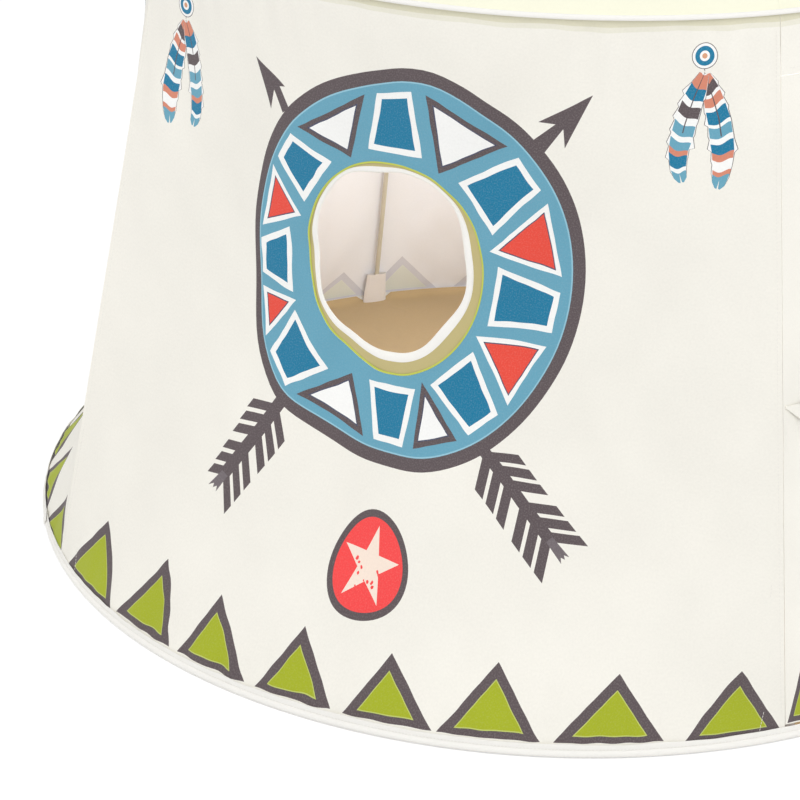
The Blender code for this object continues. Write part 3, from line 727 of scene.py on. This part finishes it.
def feather(place, line, widths, side, seed):
    """One feather: stripes across a curved body, a thin shaft, a notched tip and a frayed edge."""
    stripes = [(0.0, SALMON), (0.13, DARK_BLUE), (0.24, WHITE), (0.3, BROWN), (0.4, WHITE),
               (0.47, LIGHT_BLUE), (0.57, WHITE), (0.62, LIGHT_BLUE), (0.7, SALMON), (0.75, DARK_BLUE),
               (0.86, WHITE), (0.9, LIGHT_BLUE), (1.01, None)]
    if side > 0:
        stripes = [(0.0, SALMON), (0.08, BROWN), (0.16, WHITE), (0.19, SALMON), (0.27, WHITE),
                   (0.31, DARK_BLUE), (0.43, WHITE), (0.46, LIGHT_BLUE), (0.55, WHITE), (0.6, DARK_BLUE),
                   (0.69, SALMON), (0.75, WHITE), (0.84, SALMON), (0.88, LIGHT_BLUE), (1.01, None)]
    line = np.array(line)
    steps = run_along(line)
    steps = steps / steps[-1]

    def on_line(t):
        return np.array([np.interp(t, steps, line[:, k]) for k in (0, 1)])

    def at(t, off):
        """A point at a share of the feather's length, off to the side by a share of its width."""
        t = min(max(t, 0.0), 1.0)
        q, r = on_line(min(t + 0.05, 1)), on_line(max(t - 0.05, 0))
        run = (q - r) / np.linalg.norm(q - r)
        wide = float(np.interp(t, [0, 0.12, 0.35, 0.6, 0.85, 0.96, 1.0], widths))
        p = on_line(t) + np.array([-run[1], run[0]]) * off * wide
        return (float(p[0]), float(p[1]))

    def edge(t, off):
        """A stripe's edge leans across the feather in a soft wave."""
        return at(t + 0.014 * off * side + 0.016 * math.cos(3 * off + seed), off)

    rng = np.random.default_rng(seed)
    shapes = []
    offs = np.linspace(-1, 1, 9)
    frays = [[0.95 + 0.42 * rng.random() ** 1.5 * (k % 2) for k in range(17)] for _ in (0, 1)]
    downs = [0.91 * k / 16 + 0.03 * (k % 2) for k in range(17)]
    tip = [at(0.96, -0.95), at(1.0, -0.6), at(0.995, -0.15), at(0.92, 0.0), at(1.0, 0.2), at(0.995, 0.65),
           at(0.95, 0.95)]
    for fill, more in ((BROWN, 0.06), (WHITE, 0.0)):
        outline = [at(t, -frays[0][k] - more) for k, t in enumerate(downs)] + tip
        outline += [at(t, frays[1][k] + more) for k, t in reversed(list(enumerate(downs)))]
        shapes.append((fill, place(outline)))
    for (start, fill), (end, _) in zip(stripes, stripes[1:]):
        near = [edge(start, o) for o in offs * 0.93]
        far = tip[::-1] if end > 1 else [edge(end, o) for o in offs[::-1] * 0.93]
        shapes.append((fill, place(near + far)))
    shapes.append((BROWN, place([(-0.5, 11.0), (0.5, 11.0), at(0.0, 0.06), at(0.0, -0.06)])))
    shaft = [at(t, -0.05) for t in np.linspace(0.0, 0.55, 8)]
    shaft += [at(t, 0.05) for t in np.linspace(0.55, 0.0, 8)]
    shapes.append((BROWN, place(shaft)))
    return shapes


def feathers_print(x, z, lean):
    """A pair of feathers under a ringed dot, in line with the seam beside them. The left pair is
    the right one's mirror image."""
    place = frame_map((x, z), (math.copysign(1.0, lean), 0.0), (lean, -1.0))
    shapes = []
    left = [(0, 17), (-9, 40), (-17, 66), (-23, 92), (-23, 108), (-19, 124)]
    right = [(1, 18), (9, 40), (16, 62), (20, 90), (19, 110), (15, 129)]
    shapes += feather(place, right, [5, 9, 11.5, 12, 9, 6.5, 4], 1, 37)
    shapes += feather(place, left, [5, 9, 11.5, 11.5, 8.5, 6.5, 4], -1, 31)
    for radius, fill in ((12.6, BROWN), (11.9, WHITE), (9.4, DARK_BLUE), (5.0, WHITE), (2.6, DOT_TAN)):
        shapes.append((fill, place(circle((0.0, 0.0), radius, 40))))
    return shapes


# Cutting the print into a flat cloth


def resampled(outline, step):
    """An outline with points added, so that none are further apart than step."""
    points = []
    for start, end in zip(outline, outline[1:] + outline[:1]):
        count = max(1, math.ceil(math.dist(start, end) / step))
        for i in range(count):
            t = i / count
            points.append((start[0] + (end[0] - start[0]) * t, start[1] + (end[1] - start[1]) * t))
    return points


def inside_polygon(points, polygon):
    """Which of the points, rows of x and z, lie inside a polygon."""
    polygon = np.asarray(polygon)
    found = np.zeros(len(points), dtype=bool)
    low, high = polygon.min(0), polygon.max(0)
    near = np.where(np.all((points >= low) & (points <= high), axis=1))[0]
    x, z = points[near, 0], points[near, 1]
    hits = np.zeros(len(near), dtype=bool)
    for (x1, z1), (x2, z2) in zip(polygon, np.roll(polygon, -1, axis=0)):
        if z1 == z2:
            continue
        crosses = (z1 > z) != (z2 > z)
        hits ^= crosses & (x < x1 + (z - z1) * (x2 - x1) / (z2 - z1))
    found[near] = hits
    return found


def flat_cloth(outline, holes, shapes, step):
    """A flat mesh inside an outline with holes, cut along the shapes' outlines: its points, its faces
    and their colours. A shape is (colour, outline), in paint order."""
    points, edges = [], []
    for loop in [outline, *holes, *(shape for _, shape in shapes)]:
        loop = resampled(loop, step)
        first = len(points)
        points += loop
        edges += [(first + i, first + (i + 1) % len(loop)) for i in range(len(loop))]
    low, high = np.min(points, axis=0), np.max(points, axis=0)
    columns = np.arange(low[0] + step / 2, high[0], step)
    rows = np.arange(low[1] + step / 2, high[1], step)
    grid = np.stack(np.meshgrid(columns, rows), axis=-1).reshape(-1, 2)
    cells = {}
    for x, z in points:
        cells.setdefault((int(x // step), int(z // step)), []).append((x, z))
    kept = []
    for x, z in grid[inside_polygon(grid, outline)]:
        i, j = int(x // step), int(z // step)
        near = [q for a in (-1, 0, 1) for b in (-1, 0, 1) for q in cells.get((i + a, j + b), ())]
        if all((x - q[0]) ** 2 + (z - q[1]) ** 2 > (0.4 * step) ** 2 for q in near):
            kept.append((x, z))
    made = delaunay_2d_cdt([Vector(p) for p in points + kept], edges, [], 0, 1e-7)
    flat = np.array([tuple(v) for v in made[0]])
    faces = np.array(made[2])
    middle = flat[faces].mean(axis=1)
    keep = inside_polygon(middle, outline)
    for hole in holes:
        keep &= ~inside_polygon(middle, hole)
    faces, middle = faces[keep], middle[keep]
    colours = np.tile(np.array(CREAM), (len(faces), 1))
    for fill, shape in shapes:
        colours[inside_polygon(middle, shape)] = fill
    one, two, three = (flat[faces[:, i]] for i in range(3))
    a, b = two - one, three - one
    area = a[:, 0] * b[:, 1] - a[:, 1] * b[:, 0]
    faces[area < 0] = faces[area < 0][:, ::-1]
    whole = np.abs(area) > 1e-13
    used, faces = np.unique(faces[whole], return_inverse=True)
    return flat[used], faces.reshape(-1, 3), colours[whole]


def trapezoid(face, low, high):
    """The flat outline of a wall cloth, anticlockwise. Its ends run straight over both hoops."""
    heights = [low] + [z for z in (WALL_FOOT, WALL_SHOULDER) if low < z < high] + [high]
    halves = [float(HALF_ANGLE * round_wall_radius(z)) for z in heights]
    right = DOOR_SEAM_GAP if face == "left" else SEAM_GAP
    left = DOOR_SEAM_GAP if face == "right" else SEAM_GAP
    ends = list(zip(halves, heights))
    return [(x - right, z) for x, z in ends] + [(left - x, z) for x, z in reversed(ends)]


def in_metres(outline):
    return [(x / 1000, z / 1000) for x, z in outline]


def wall_cloth(name, face, low, step, holes, shapes, node):
    """A wall cloth from a height up to the eaves, with its print and a strip of painted shade at its top,
    under the eaves piping.
    """
    high = WALL_TOP_EDGE
    # Painted shade under the eaves piping: a paler step from 706 mm, then a darker band from 711 mm up to the
    # top edge
    painted_eaves_shade = [(fill, wavy([(-372, foot), (372, foot), (372, 725), (-372, 725)], 0.8, 9, 60.0))
             for fill, foot in ((EAVES_PAINTED_SHADE_FADE, 706.0), (EAVES_PAINTED_SHADE, 711.0))]
    shapes = [(fill, in_metres(shape)) for fill, shape in painted_eaves_shade + shapes]
    holes = [in_metres(hole) for hole in holes]
    flat, faces, colours = flat_cloth(trapezoid(face, low, high), holes, shapes, step)
    points = wall_point(face, flat[:, 0], flat[:, 1])
    piece = add_cloth(name, points, faces, CLOTH, [PRINTED, PRINTED_BACK], flat, colours)
    put(piece, "root", "wall_cloth", node)


# The border of the window's panel, read off the photo: each triangle's left, apex, right and height
PHOTO_BORDER = (
    (-438, -374, -322, 86), (-312, -262, -216, 84), (-203, -174, -109, 76), (-95, -61, -5, 74),
    (8, 45, 103, 70), (108, 161, 212, 77), (225, 288, 336, 74), (356, 413, 461, 76),
)


def walls():
    shapes = arrows_print() + ring_print() + star_print() + border_print(PHOTO_BORDER)
    shapes += feathers_print(292.6, 682.6, SEAM_LEAN) + feathers_print(-296.7, 655.2, -SEAM_LEAN)
    wall_cloth("wall_cloth_window", "left", WALL_LOW_EDGE, WALL_STEP,
               [circle(WINDOW_CENTRE, WINDOW_RADIUS, 120)], shapes, "wall_panel_window")
    for seed, face, border in ((300, "rear", REAR_BORDER), (400, "right", RIGHT_BORDER)):
        shapes = border_print(plain_border(border), seed, -4.0)
        shapes += feathers_print(292.6, 676.0, SEAM_LEAN) + feathers_print(-292.6, 676.0, -SEAM_LEAN)
        wall_cloth("wall_cloth_" + face, face, WALL_LOW_EDGE, PLAIN_STEP, [], shapes, "wall_panel_" + face)
    wall_cloth("door_header_cloth", "front", WALL_HEIGHT - HEADER_HEIGHT, PLAIN_STEP, [], [], "door_header")


def tape_wobble(angles, radius, height):
    """Puckers in the hem's outer lip, which grow with height over the hoop's tube."""
    grow = min(max((height - 0.006) / 0.008, 0.0), 1.0) if radius > HEM_RADIUS else 0.0
    reach = HEM_RADIUS * 0.16
    x, z = reach * np.sin(angles), reach * np.cos(angles)
    return 0.0003 * grow * wander(x, z, 0.006, 72), grow * 0.0007 * wander(x, z, 0.007, 71)


def strip_width(outline):
    """The width of a strip that is folded into a closed outline: half the way round it."""
    return 0.5 * sum(math.dist(a, b) for a, b in zip(outline, outline[1:] + outline[:1]))


def hem_and_piping():
    centre = (HEM_RADIUS, HEM_TUBE_RADIUS)
    slit = CLOTH / 2 + CLEARANCE
    lip = slit + HEM_TAPE
    lip_angle = math.degrees(math.acos(lip / HEM_TUBE_RADIUS))
    bore = HEM_TUBE_RADIUS - HEM_TAPE
    slit_angle = math.degrees(math.acos(slit / bore))
    top = HEM_OUTER_LIP + 0.0028
    rises = [(lip + HEM_BULGE, HEM_STITCH_HEIGHT), (lip, 0.0125), (lip - 0.0002, top)]
    rises += [(slit, top), (slit, 0.0125), (slit, HEM_STITCH_HEIGHT)]
    outline = arc(centre, HEM_TUBE_RADIUS, -90, lip_angle, 9)
    outline += [(HEM_RADIUS + out, height) for out, height in rises]
    outline += arc(centre, bore, slit_angle, -180 - slit_angle, 14)
    outline += [(HEM_RADIUS - slit, HEM_INNER_LIP), (HEM_RADIUS - lip, HEM_INNER_LIP)]
    outline += arc(centre, HEM_TUBE_RADIUS, 180 - lip_angle, 270, 9)[:-1]
    hem = put(band("hem_band", outline, 720, True, TAPE, tape_wobble), "root", "hem_tape", "hem_tunnel")
    hem.data.materials.append(LINING)
    inner = [1 if radius < HEM_RADIUS - 0.0006 and height > 0.004 else 0 for radius, height in outline]
    hem.data.polygons.foreach_set("material_index", inner * 720)
    strip_width(outline)
    centre = (EAVES_RADIUS, WALL_HEIGHT)
    outline = arc(centre, PIPING_RADIUS, -172, 172, 17) + arc(centre, PIPING_BORE, 171, -171, 15)
    piping = put(band("eaves_piping_cloth", outline, 288, True, TAPE), "root", "hem_tape", "eaves_piping")
    strip_width(outline)


def roof_cloth(face, centre, seed):
    """One gore of the roof, from the eaves to the peak, with slow folds, drags and seam ridges."""
    low, high = roof_line(WALL_TOP_RADIUS), roof_line(ROOF_TOP_RADIUS)
    columns, rows = 72, 72
    points, uv = [], []
    for j in range(rows + 1):
        share = (j / rows) ** 1.2
        round_radius = WALL_TOP_RADIUS + (ROOF_TOP_RADIUS - WALL_TOP_RADIUS) * share
        off = (HALF_ANGLE - SEAM_GAP / round_radius) * np.linspace(-1, 1, columns + 1)
        radius = pulled_radius(centre + off, round_radius, ROOF_PULL_SHARE * pull_shape(share))
        run = math.hypot(WALL_TOP_RADIUS - round_radius, (high - low) * share)
        x = off * round_radius
        to_seam = round_radius * (HALF_ANGLE - np.abs(off))
        fold = 0.002 * wander(x, run, 0.2, seed, 2.0) * smooth_step(to_seam, 0, 0.06)
        fold = fold * smooth_step(run, 0, 0.1) * smooth_step(1 - share, 0.05, 0.35)
        drags = 0.001 * math.exp(-run / 0.07) * wander(x, run, 0.04, seed + 1, 6.0)
        drags = drags * smooth_step(run, 0, 0.02) * smooth_step(to_seam, 0, 0.02)
        ridge = ROOF_RIDGE * bump(to_seam, 0.0, RIDGE_WIDTH) * smooth_step(run, 0, 0.02)
        ridge = ridge * smooth_step(1 - share, *ROOF_RIDGE_END)
        points.append(around(centre + off, radius + fold + drags + ridge, low + (high - low) * share))
        uv.append(flat_rows(x, run))
    gore = add_cloth("roof_cloth_" + face, points, grid_faces(columns, rows), CLOTH, [ROOF, ROOF_BACK], uv)
    put(gore, "root", "roof_cloth", "roof_gore_" + face)


def roof():
    for i, (face, centre) in enumerate(FACES.items()):
        roof_cloth(face, centre, 60 + 7 * i)
    lift = (CLOTH / 2 + CLEARANCE + CAP_CLOTH / 2) * ROOF_SLANT
    radii = [CAP_RADIUS + (CAP_TIP_RADIUS - CAP_RADIUS) * i / 16 for i in range(17)]
    tip = roof_line(CAP_TIP_RADIUS) + lift
    outline = [(radius, roof_line(radius) + lift) for radius in radii]
    outline += [(0.0025, tip + 0.0012), (0.0004, tip + 0.0014)]
    cap = band("peak_cap_cloth", outline, 96, False, ROOF, thickness=CAP_CLOTH)
    put(cap, "root", "roof_cloth", "peak_cap")


def window_ring(name, rings, material, thickness, slot, *nodes):
    """A ring of cloth round the window. Its rings are given as a radius and how far the middle lies
    off the window's, in flat millimetres, how far in it lies, and how much its edge wavers."""
    count = 180
    turn = np.arange(count) / count * math.tau
    uneven = np.cos(5 * turn + 0.6) + 0.6 * np.cos(8 * turn + 2.1)
    uneven = uneven + 4 * bump(turn, 0.8, 0.32) + 2.5 * bump(turn, 4.1, 0.35)
    points, uv = [], []
    for radius, (off_x, off_z), far_in, ripple in rings:
        reach = radius + ripple * uneven
        x = (WINDOW_CENTRE[0] + off_x + reach * np.cos(turn)) / 1000
        z = (WINDOW_CENTRE[1] + off_z + reach * np.sin(turn)) / 1000
        points.append(wall_point("left", x, z, far_in))
        uv.append(flat_rows(turn * WINDOW_RADIUS / 1000, radius / 1000))
    faces = [f[::-1] for f in grid_faces(count, len(rings) - 1, wrap=True)]
    return put(add_cloth(name, points, faces, thickness, [material], uv), "root", slot, *nodes)


def window_trim():
    """The facing behind the window's edge, whose olive is partly its cloth's colour and partly painted
    shade, a lime edge to it and a loose white binding, which hangs a little up and to the left, so
    that the facing shows most at the lower right."""
    far = CLOTH + TRIM_GAP
    facing = [(99.5, (-4.5, 5.2), far, 1.6), (104.5, (-3, 3.5), far, 0.9),
              (WINDOW_RADIUS + 13, (0, 0), far, 0)]
    piece = window_ring("window_facing_cloth", facing, SHADED_FACING, CLOTH, "facing_cloth", "window_facing")
    lime = [(WINDOW_RADIUS - 1.9, (0, 0), 0.0001, 0), (WINDOW_RADIUS - 0.2, (0, 0), 0.0001, 0)]
    window_ring("window_lime_edge", lime, LIME, 0.0007, "facing_cloth")
    inner, outer = (-5.5, 6.5), (-4.0, 4.5)
    binding = [(radius, off, far + deeper, ripple) for radius, off, deeper, ripple in (
        (96.0, inner, 0.0, 2.0), (96.8, inner, -0.0011, 2.0), (100.0, outer, -0.0014, 1.6),
        (103.4, outer, -0.0008, 1.2), (103.8, outer, 0.0002, 1.2), (103.0, outer, 0.0011, 1.2),
        (100.0, outer, 0.0014, 1.6), (96.8, inner, 0.0011, 2.0), (96.0, inner, 0.0, 2.0))]
    piece = window_ring("window_binding_cloth", binding, TAPE, 0, "hem_tape", "window_binding")


def beside_seam(side, along, height, out):
    """Points along a door curtain from its seam, standing out from the doorway's taut surface."""
    angle = HALF_ANGLE - along / wall_radius(HALF_ANGLE, height)
    place = around(angle, wall_radius(angle, height) + out, height)
    place[..., 0] *= side
    return place


def curtain_place(side, across, height):
    """Points of a curtain's middle surface from its share across and its height."""
    above = np.clip((height - TIE_HEIGHT - TIE_REACH) / (CURTAIN_TOP - TIE_HEIGHT - TIE_REACH), 0.0, 1.0)
    below = np.clip((TIE_HEIGHT - TIE_REACH - height) / (TIE_HEIGHT - TIE_REACH - CURTAIN_FOOT), 0.0, 1.0)
    width = TIE_WIDTH + TOP_SPREAD * (1 - (1 - above) ** 2) + FOOT_SPREAD * (1 - (1 - below) ** 3)
    gather = 1 - smooth_step(width, TIE_WIDTH, 0.2)
    flat_part = 0.027 - 0.002 * gather
    along = CURTAIN_GAP + width * across
    rise = smooth_step(along, flat_part, flat_part + 0.016 - 0.006 * gather)
    depth = 0.0066 + 0.0004 * gather
    folded = np.clip((along - flat_part) / (width - flat_part), 0.0, 1.0)
    main = np.sin(math.tau * 4 * folded + 0.35 * np.sin(9 * height))
    second = (0.34 - 0.1 * gather) * np.sin(math.tau * 7 * folded + 1.3 + 5.0 * height)
    drag = bump(height, TIE_HEIGHT - 0.026 - 0.5 * along, 0.018) * smooth_step(along, 0.0, 0.01)
    out = depth * rise * (main + second) / 1.2 - 0.0035 * drag * (1 - smooth_step(along, 0.03, 0.06))
    return beside_seam(side, along, height, out)


def curtains():
    flat_width, tall = 0.36, CURTAIN_TOP - CURTAIN_FOOT
    rows = [(5, 56, 108, 86), (124, 176, 229, 86), (244, 296, 349, 86)]
    shapes = [(fill, in_metres((x, z + 3) for x, z in shape)) for fill, shape in border_print(rows, 500)]
    outline = [(0.0, CURTAIN_FOOT), (flat_width, CURTAIN_FOOT), (flat_width, CURTAIN_TOP), (0.0, CURTAIN_TOP)]
    flat, faces, colours = flat_cloth(outline, [], shapes, CURTAIN_STEP)
    for side_name, side in (("left", -1), ("right", 1)):
        points = curtain_place(side, flat[:, 0] / flat_width, flat[:, 1])
        piece = add_cloth("curtain_cloth_" + side_name, points, faces if side < 0 else faces[:, ::-1],
                          CLOTH, [PRINTED, PRINTED_BACK], flat, colours)
        put(piece, "curtain_" + side_name, "wall_cloth", "door_curtain_" + side_name)
        strap(side_name, side)


def strap(side_name, side):
    """The cloth strap that goes round a gathered curtain, from its seam and back to it."""
    outside = [(0.0036, 0.0011), (0.01, 0.0014), (0.024, 0.0022), (0.034, 0.0092), (0.048, 0.0101),
               (0.059, 0.0094), (0.067, 0.0068)]
    path = np.array(outside + [(0.07, 0.0)] + [(along, -out) for along, out in reversed(outside)])
    run = run_along(path)
    at = np.linspace(0, run[-1], 72)
    along, out = np.interp(at, run, path[:, 0]), np.interp(at, run, path[:, 1])
    points, uv = [], []
    for share in np.linspace(-1, 1, 9):
        curl = 1 - 0.07 * share**2 + 0.02 * wander(at, at * 0 + share * 0.01, 0.03, 91)
        wide = TIE_BAND / 2 * (0.12 + 0.88 * smooth_step(along, 0.0, 0.032))
        height = TIE_HEIGHT + 0.003 - 0.5 * np.minimum(along, 0.028) + share * wide
        points.append(beside_seam(side, along, height, out * curl))
        uv.append(flat_rows(at, height))
    faces = grid_faces(len(at) - 1, 8)
    if side > 0:
        faces = [f[::-1] for f in faces]
    piece = add_cloth("tie_strap_" + side_name, points, faces, 0.0011, [PRINTED], uv,
                      np.tile(np.array(CREAM), (len(faces), 1)))
    put(piece, "curtain_" + side_name, "wall_cloth", "tie_back_" + side_name)


def floor_cloth():
    radius = HEM_INNER_EDGE - CLEARANCE
    rings = [0.0005] + [radius * i / 48 for i in range(1, 47)]
    outline = [(rings[0], 0.0), (radius - 0.0012, 0.0), (radius, 0.0012), (radius, FLOOR_THICKNESS - 0.0006)]
    outline += [(radius - back, FLOOR_THICKNESS) for back in (0.0006, 0.0014, 0.0026, 0.0045, 0.0075, 0.012)]
    outline += [(r, FLOOR_THICKNESS) for r in reversed(rings)]

    def turned_up(angles, reach, height):
        """The mat's edge turns up against the hem, except behind the pockets."""
        rise = 0.0095 * math.exp((reach - radius) / 0.003) if height > 0.002 else 0.0
        to_pole = np.abs(angles % PANEL_ANGLE - HALF_ANGLE) * radius
        return 0.0, rise * smooth_step(to_pole, 0.0178, 0.022)

    mat = band("floor_cloth", outline, 288, True, TAN, turned_up)
    put(mat, "root", "floor_cloth", "floor_mat")


def pole_foot(angle):
    lean = (HEM_RADIUS - WALL_TOP_RADIUS) / (WALL_SHOULDER - WALL_FOOT)
    height = FLOOR_THICKNESS + 2 * CLEARANCE + POCKET_CLOTH + POLE_RADIUS * lean
    return Vector(around(angle, HEM_INNER_EDGE - CLEARANCE - POCKET_DEPTH / 2, height))


def corner_pockets():
    """Thin nylon pockets that stand round the poles' feet, a little gathered at their mouths."""
    base = FLOOR_THICKNESS + CLEARANCE
    count, rows = 48, 14
    turn = np.arange(count) / count * math.tau
    depth = POCKET_DEPTH / 2 - POCKET_SLACK
    for name, angle in CORNERS.items():
        foot = pole_foot(angle)
        way = (Vector(around(angle, *POLE_HEAD)) - foot).normalized()
        tangent = np.array([math.cos(angle), math.sin(angle), 0.0])
        inward = around(angle, -1.0, 0.0)
        points, uv = [], []
        for j in range(rows + 1):
            share = j / rows
            width = POCKET_WIDTH / 2 * (1 + (POCKET_TOP_SHARE - 1) * share) - POCKET_SLACK
            height = base + POCKET_HEIGHT * share
            centre = np.array(foot + way * ((height - foot.z) / way.z))
            crease = 1 + 0.05 * share * np.sin(7 * turn + 2) * np.abs(np.cos(turn))
            ring = centre + np.outer(np.cos(turn) * width * crease, tangent)
            points.append(ring + np.outer(np.sin(turn) * depth, inward))
            uv.append(flat_rows(turn * 0.012, height))
        faces = grid_faces(count, rows, wrap=True) + [tuple(reversed(range(count)))]
        piece = add_cloth("corner_pocket_cloth_" + name, points, faces, POCKET_CLOTH, [NYLON], uv)
        put(piece, "root", "pocket_cloth", "corner_pocket_" + name)


def hard_parts():
    """Poles, hoops, ferrules, elbows and hub keep their solids and take better finishes."""
    finishes = {
        ("wall_pole", "roof_pole"): FIBREGLASS,
        ("pole_ferrule", "hem_hoop", "eaves_hoop"): STEEL,
        ("eaves_elbow", "crown_hub"): PLASTIC,
    }
    for name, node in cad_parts.items():
        for starts, finish in finishes.items():
            if name.startswith(starts):
                for slot in node.material_slots:
                    slot.material = finish


def seam_stitches():
    """Thread along the wall and roof seams, round the window, and on the hem, header and cap."""
    for name, angle in CORNERS.items():
        for way, side in (("left", -1), ("right", 1)):
            heights = np.linspace(0.03, 0.705, 120)
            turn = angle + side * STITCH_OFF / wall_radius(angle, heights)
            radius = wall_radius(turn, heights) + WALL_RIDGE * bump(STITCH_OFF, 0.0, RIDGE_WIDTH)
            if not name.startswith("front") or (side > 0) != (name == "front_left"):
                path = around(turn, radius + CLOTH / 2, heights)
                stitches(f"seam_stitches_{name}_{way}", path, turn, 0.18, THREAD)
            path = roof_seam(angle, side * 0.004)
            stitches(f"roof_stitches_{name}_{way}", path, angle, ROOF_LEAN, THREAD)
    turn = np.linspace(0, math.tau, 400)
    reach = WINDOW_RADIUS + 2.6
    wall_stitches("window_stitches", WINDOW_CENTRE[0] + reach * np.cos(turn),
                  WINDOW_CENTRE[1] + reach * np.sin(turn), SEWN_BLUE, 0.0032, 0.00035)
    for name, ends in (("right", (440, 34, 436, 8)), ("left", (-424, 39, -418, 14)),
                       ("tuck", (433, 149, 432, 164))):
        wall_stitches("pocket_stitches_" + name, np.linspace(ends[0], ends[2], 12),
                      np.linspace(ends[1], ends[3], 12), THREAD, 0.0034, 0.0007)
    turn = np.linspace(0, math.tau, 1600)
    radius = HEM_RADIUS + CLOTH / 2 + CLEARANCE + HEM_TAPE + HEM_BULGE
    stitches("hem_stitches", around(turn, radius, HEM_STITCH_HEIGHT), turn, 0.0, THREAD, pitch=0.0036)
    turn = np.linspace(-HALF_ANGLE + 0.02, HALF_ANGLE - 0.02, 200)
    height = WALL_HEIGHT - HEADER_HEIGHT + 0.006
    path = wall_point("front", turn * round_wall_radius(height), height, -CLOTH / 2)
    stitches("header_stitches", path, turn, 0.0, THREAD)
    turn = np.linspace(0, math.tau, 300)
    radius = CAP_RADIUS - 0.005
    lift = (CLOTH / 2 + CLEARANCE + CAP_CLOTH) * ROOF_SLANT
    stitches("cap_stitches", around(turn, radius, roof_line(radius) + lift), turn, ROOF_LEAN, THREAD)


def roof_seam(angle, off):
    """Points along a roof seam, off to one side of it."""
    share = np.linspace(0.04, 1.0, 120) ** 1.2
    round_radius = WALL_TOP_RADIUS + (CAP_RADIUS + 0.004 - WALL_TOP_RADIUS) * share
    full = (WALL_TOP_RADIUS - round_radius) / (WALL_TOP_RADIUS - ROOF_TOP_RADIUS)
    turned = angle + off / round_radius
    radius = pulled_radius(turned, round_radius, ROOF_PULL_SHARE * pull_shape(full))
    radius = radius + ROOF_RIDGE * bump(off, 0.0, RIDGE_WIDTH) * smooth_step(1 - full, *ROOF_RIDGE_END)
    return around(turned, radius + CLOTH / 2, roof_line(round_radius) + CLOTH / 3)


def wall_stitches(name, x, z, material, pitch, thick):
    """Stitches on the window panel, from flat coordinates in millimetres."""
    x, z = x / 1000, z / 1000
    turn = FACES["left"] + x / round_wall_radius(z)
    stitches(name, wall_point("left", x, z, -CLOTH / 2), turn, 0.15, material, pitch=pitch, thick=thick)


def hem_lap():
    """A short doubled piece where the ends of the hem's tape overlap."""
    outline = [(0.0048, 0.0035), (0.0046, 0.0058), (0.0036, 0.0082), (0.0026, 0.0105), (0.0023, 0.0165)]
    turn = math.radians(-144) + np.linspace(-0.011, 0.011, 9)
    points = [around(turn, HEM_RADIUS + out + HEM_BULGE, height) for out, height in outline]
    uv = [flat_rows(turn * HEM_RADIUS, height) for _, height in outline]
    piece = put(add_cloth("hem_lap", points, grid_faces(8, 4), 0.0006, [TAPE], uv), "root", "hem_tape")


# Camera, light and floor


def camera():
    lens = bpy.data.cameras.new("photo_camera")
    lens.lens = 116.642
    lens.sensor_width = 36.0
    lens.clip_end = 50
    eye = bpy.data.objects.new("photo_camera", lens)
    azimuth, distance, height = math.radians(-70.209), 2.7769, 1.4143
    sideways, aim, roll = -0.1765, 0.1027, 0.0223
    place = Vector(around(azimuth, distance, height))
    side_way = Vector((math.cos(azimuth), math.sin(azimuth), 0))
    forward = (Vector(around(azimuth, -distance, aim - height)) + side_way * sideways).normalized()
    right = forward.cross(Vector((0, 0, 1))).normalized()
    up = right.cross(forward)
    turned_right = right * math.cos(roll) + up * math.sin(roll)
    turned_up = up * math.cos(roll) - right * math.sin(roll)
    axes = Matrix((turned_right, turned_up, -forward)).transposed()
    eye.matrix_world = Matrix.Translation(place) @ axes.to_4x4()
    bpy.context.scene.collection.objects.link(eye)
    bpy.context.scene.camera = eye


def lamp(name, place, size, power, tint=(1, 1, 1), aim=None):
    """A square lamp that faces its aim, or a round one without an aim."""
    data = bpy.data.lights.new(name, "AREA" if aim else "POINT")
    data.energy = power
    data.color = tint
    piece = bpy.data.objects.new(name, data)
    piece.location = place
    if aim:
        data.size = size
        piece.rotation_euler = (Vector(aim) - Vector(place)).to_track_quat("-Z", "Y").to_euler()
    else:
        data.shadow_soft_size = size
    piece.visible_camera = False
    bpy.context.scene.collection.objects.link(piece)


def studio():
    """A white surround, three lamps, a glow inside the tent and a floor that shows as white."""
    scene = bpy.context.scene
    scene.view_settings.view_transform = "Standard"
    world = bpy.data.worlds.new("studio")
    scene.world = world
    world.use_nodes = True
    background = world.node_tree.nodes["Background"].inputs
    background["Color"].default_value = (1, 1, 1, 1)
    background["Strength"].default_value = 0.73
    lamp("key", (-2.6, -1.6, 3.0), 2.0, 36, aim=(0, 0, 0.4))
    lamp("left_fill", (-1.8, 2.6, 1.8), 1.6, 13, aim=(-0.4, 0.1, 0.3))
    lamp("front_fill", (0.7, -3.0, 1.7), 1.6, 12, (0.97, 0.985, 1.0), (-0.2, -0.3, 0.35))
    lamp("inside_glow", (0.0, 0.0, 0.36), 0.2, 6.1, (0.865, 0.94, 0.985))
    points = [(40 * x, 40 * y, -0.0004) for x, y in ((-1, -1), (1, -1), (1, 1), (-1, 1))]
    t = Tree("studio_floor")
    path = t.add("ShaderNodeLightPath").outputs
    seen = t.math("MAXIMUM", t.math("MAXIMUM", path["Is Camera Ray"], path["Is Glossy Ray"]),
                  path["Is Transmission Ray"])
    t.set(Base_Color=(0.85, 0.85, 0.85, 1), Roughness=0.9, Specular_IOR_Level=0.0,
          Emission_Color=(1, 1, 1, 1), Emission_Strength=t.math("MULTIPLY", seen, 0.35))
    add_piece("studio_floor", points, [(0, 1, 2, 3)], [t.material])


camera()
walls()
hem_and_piping()
roof()
window_trim()
curtains()
floor_cloth()
corner_pockets()
hard_parts()
seam_stitches()
hem_lap()
studio()
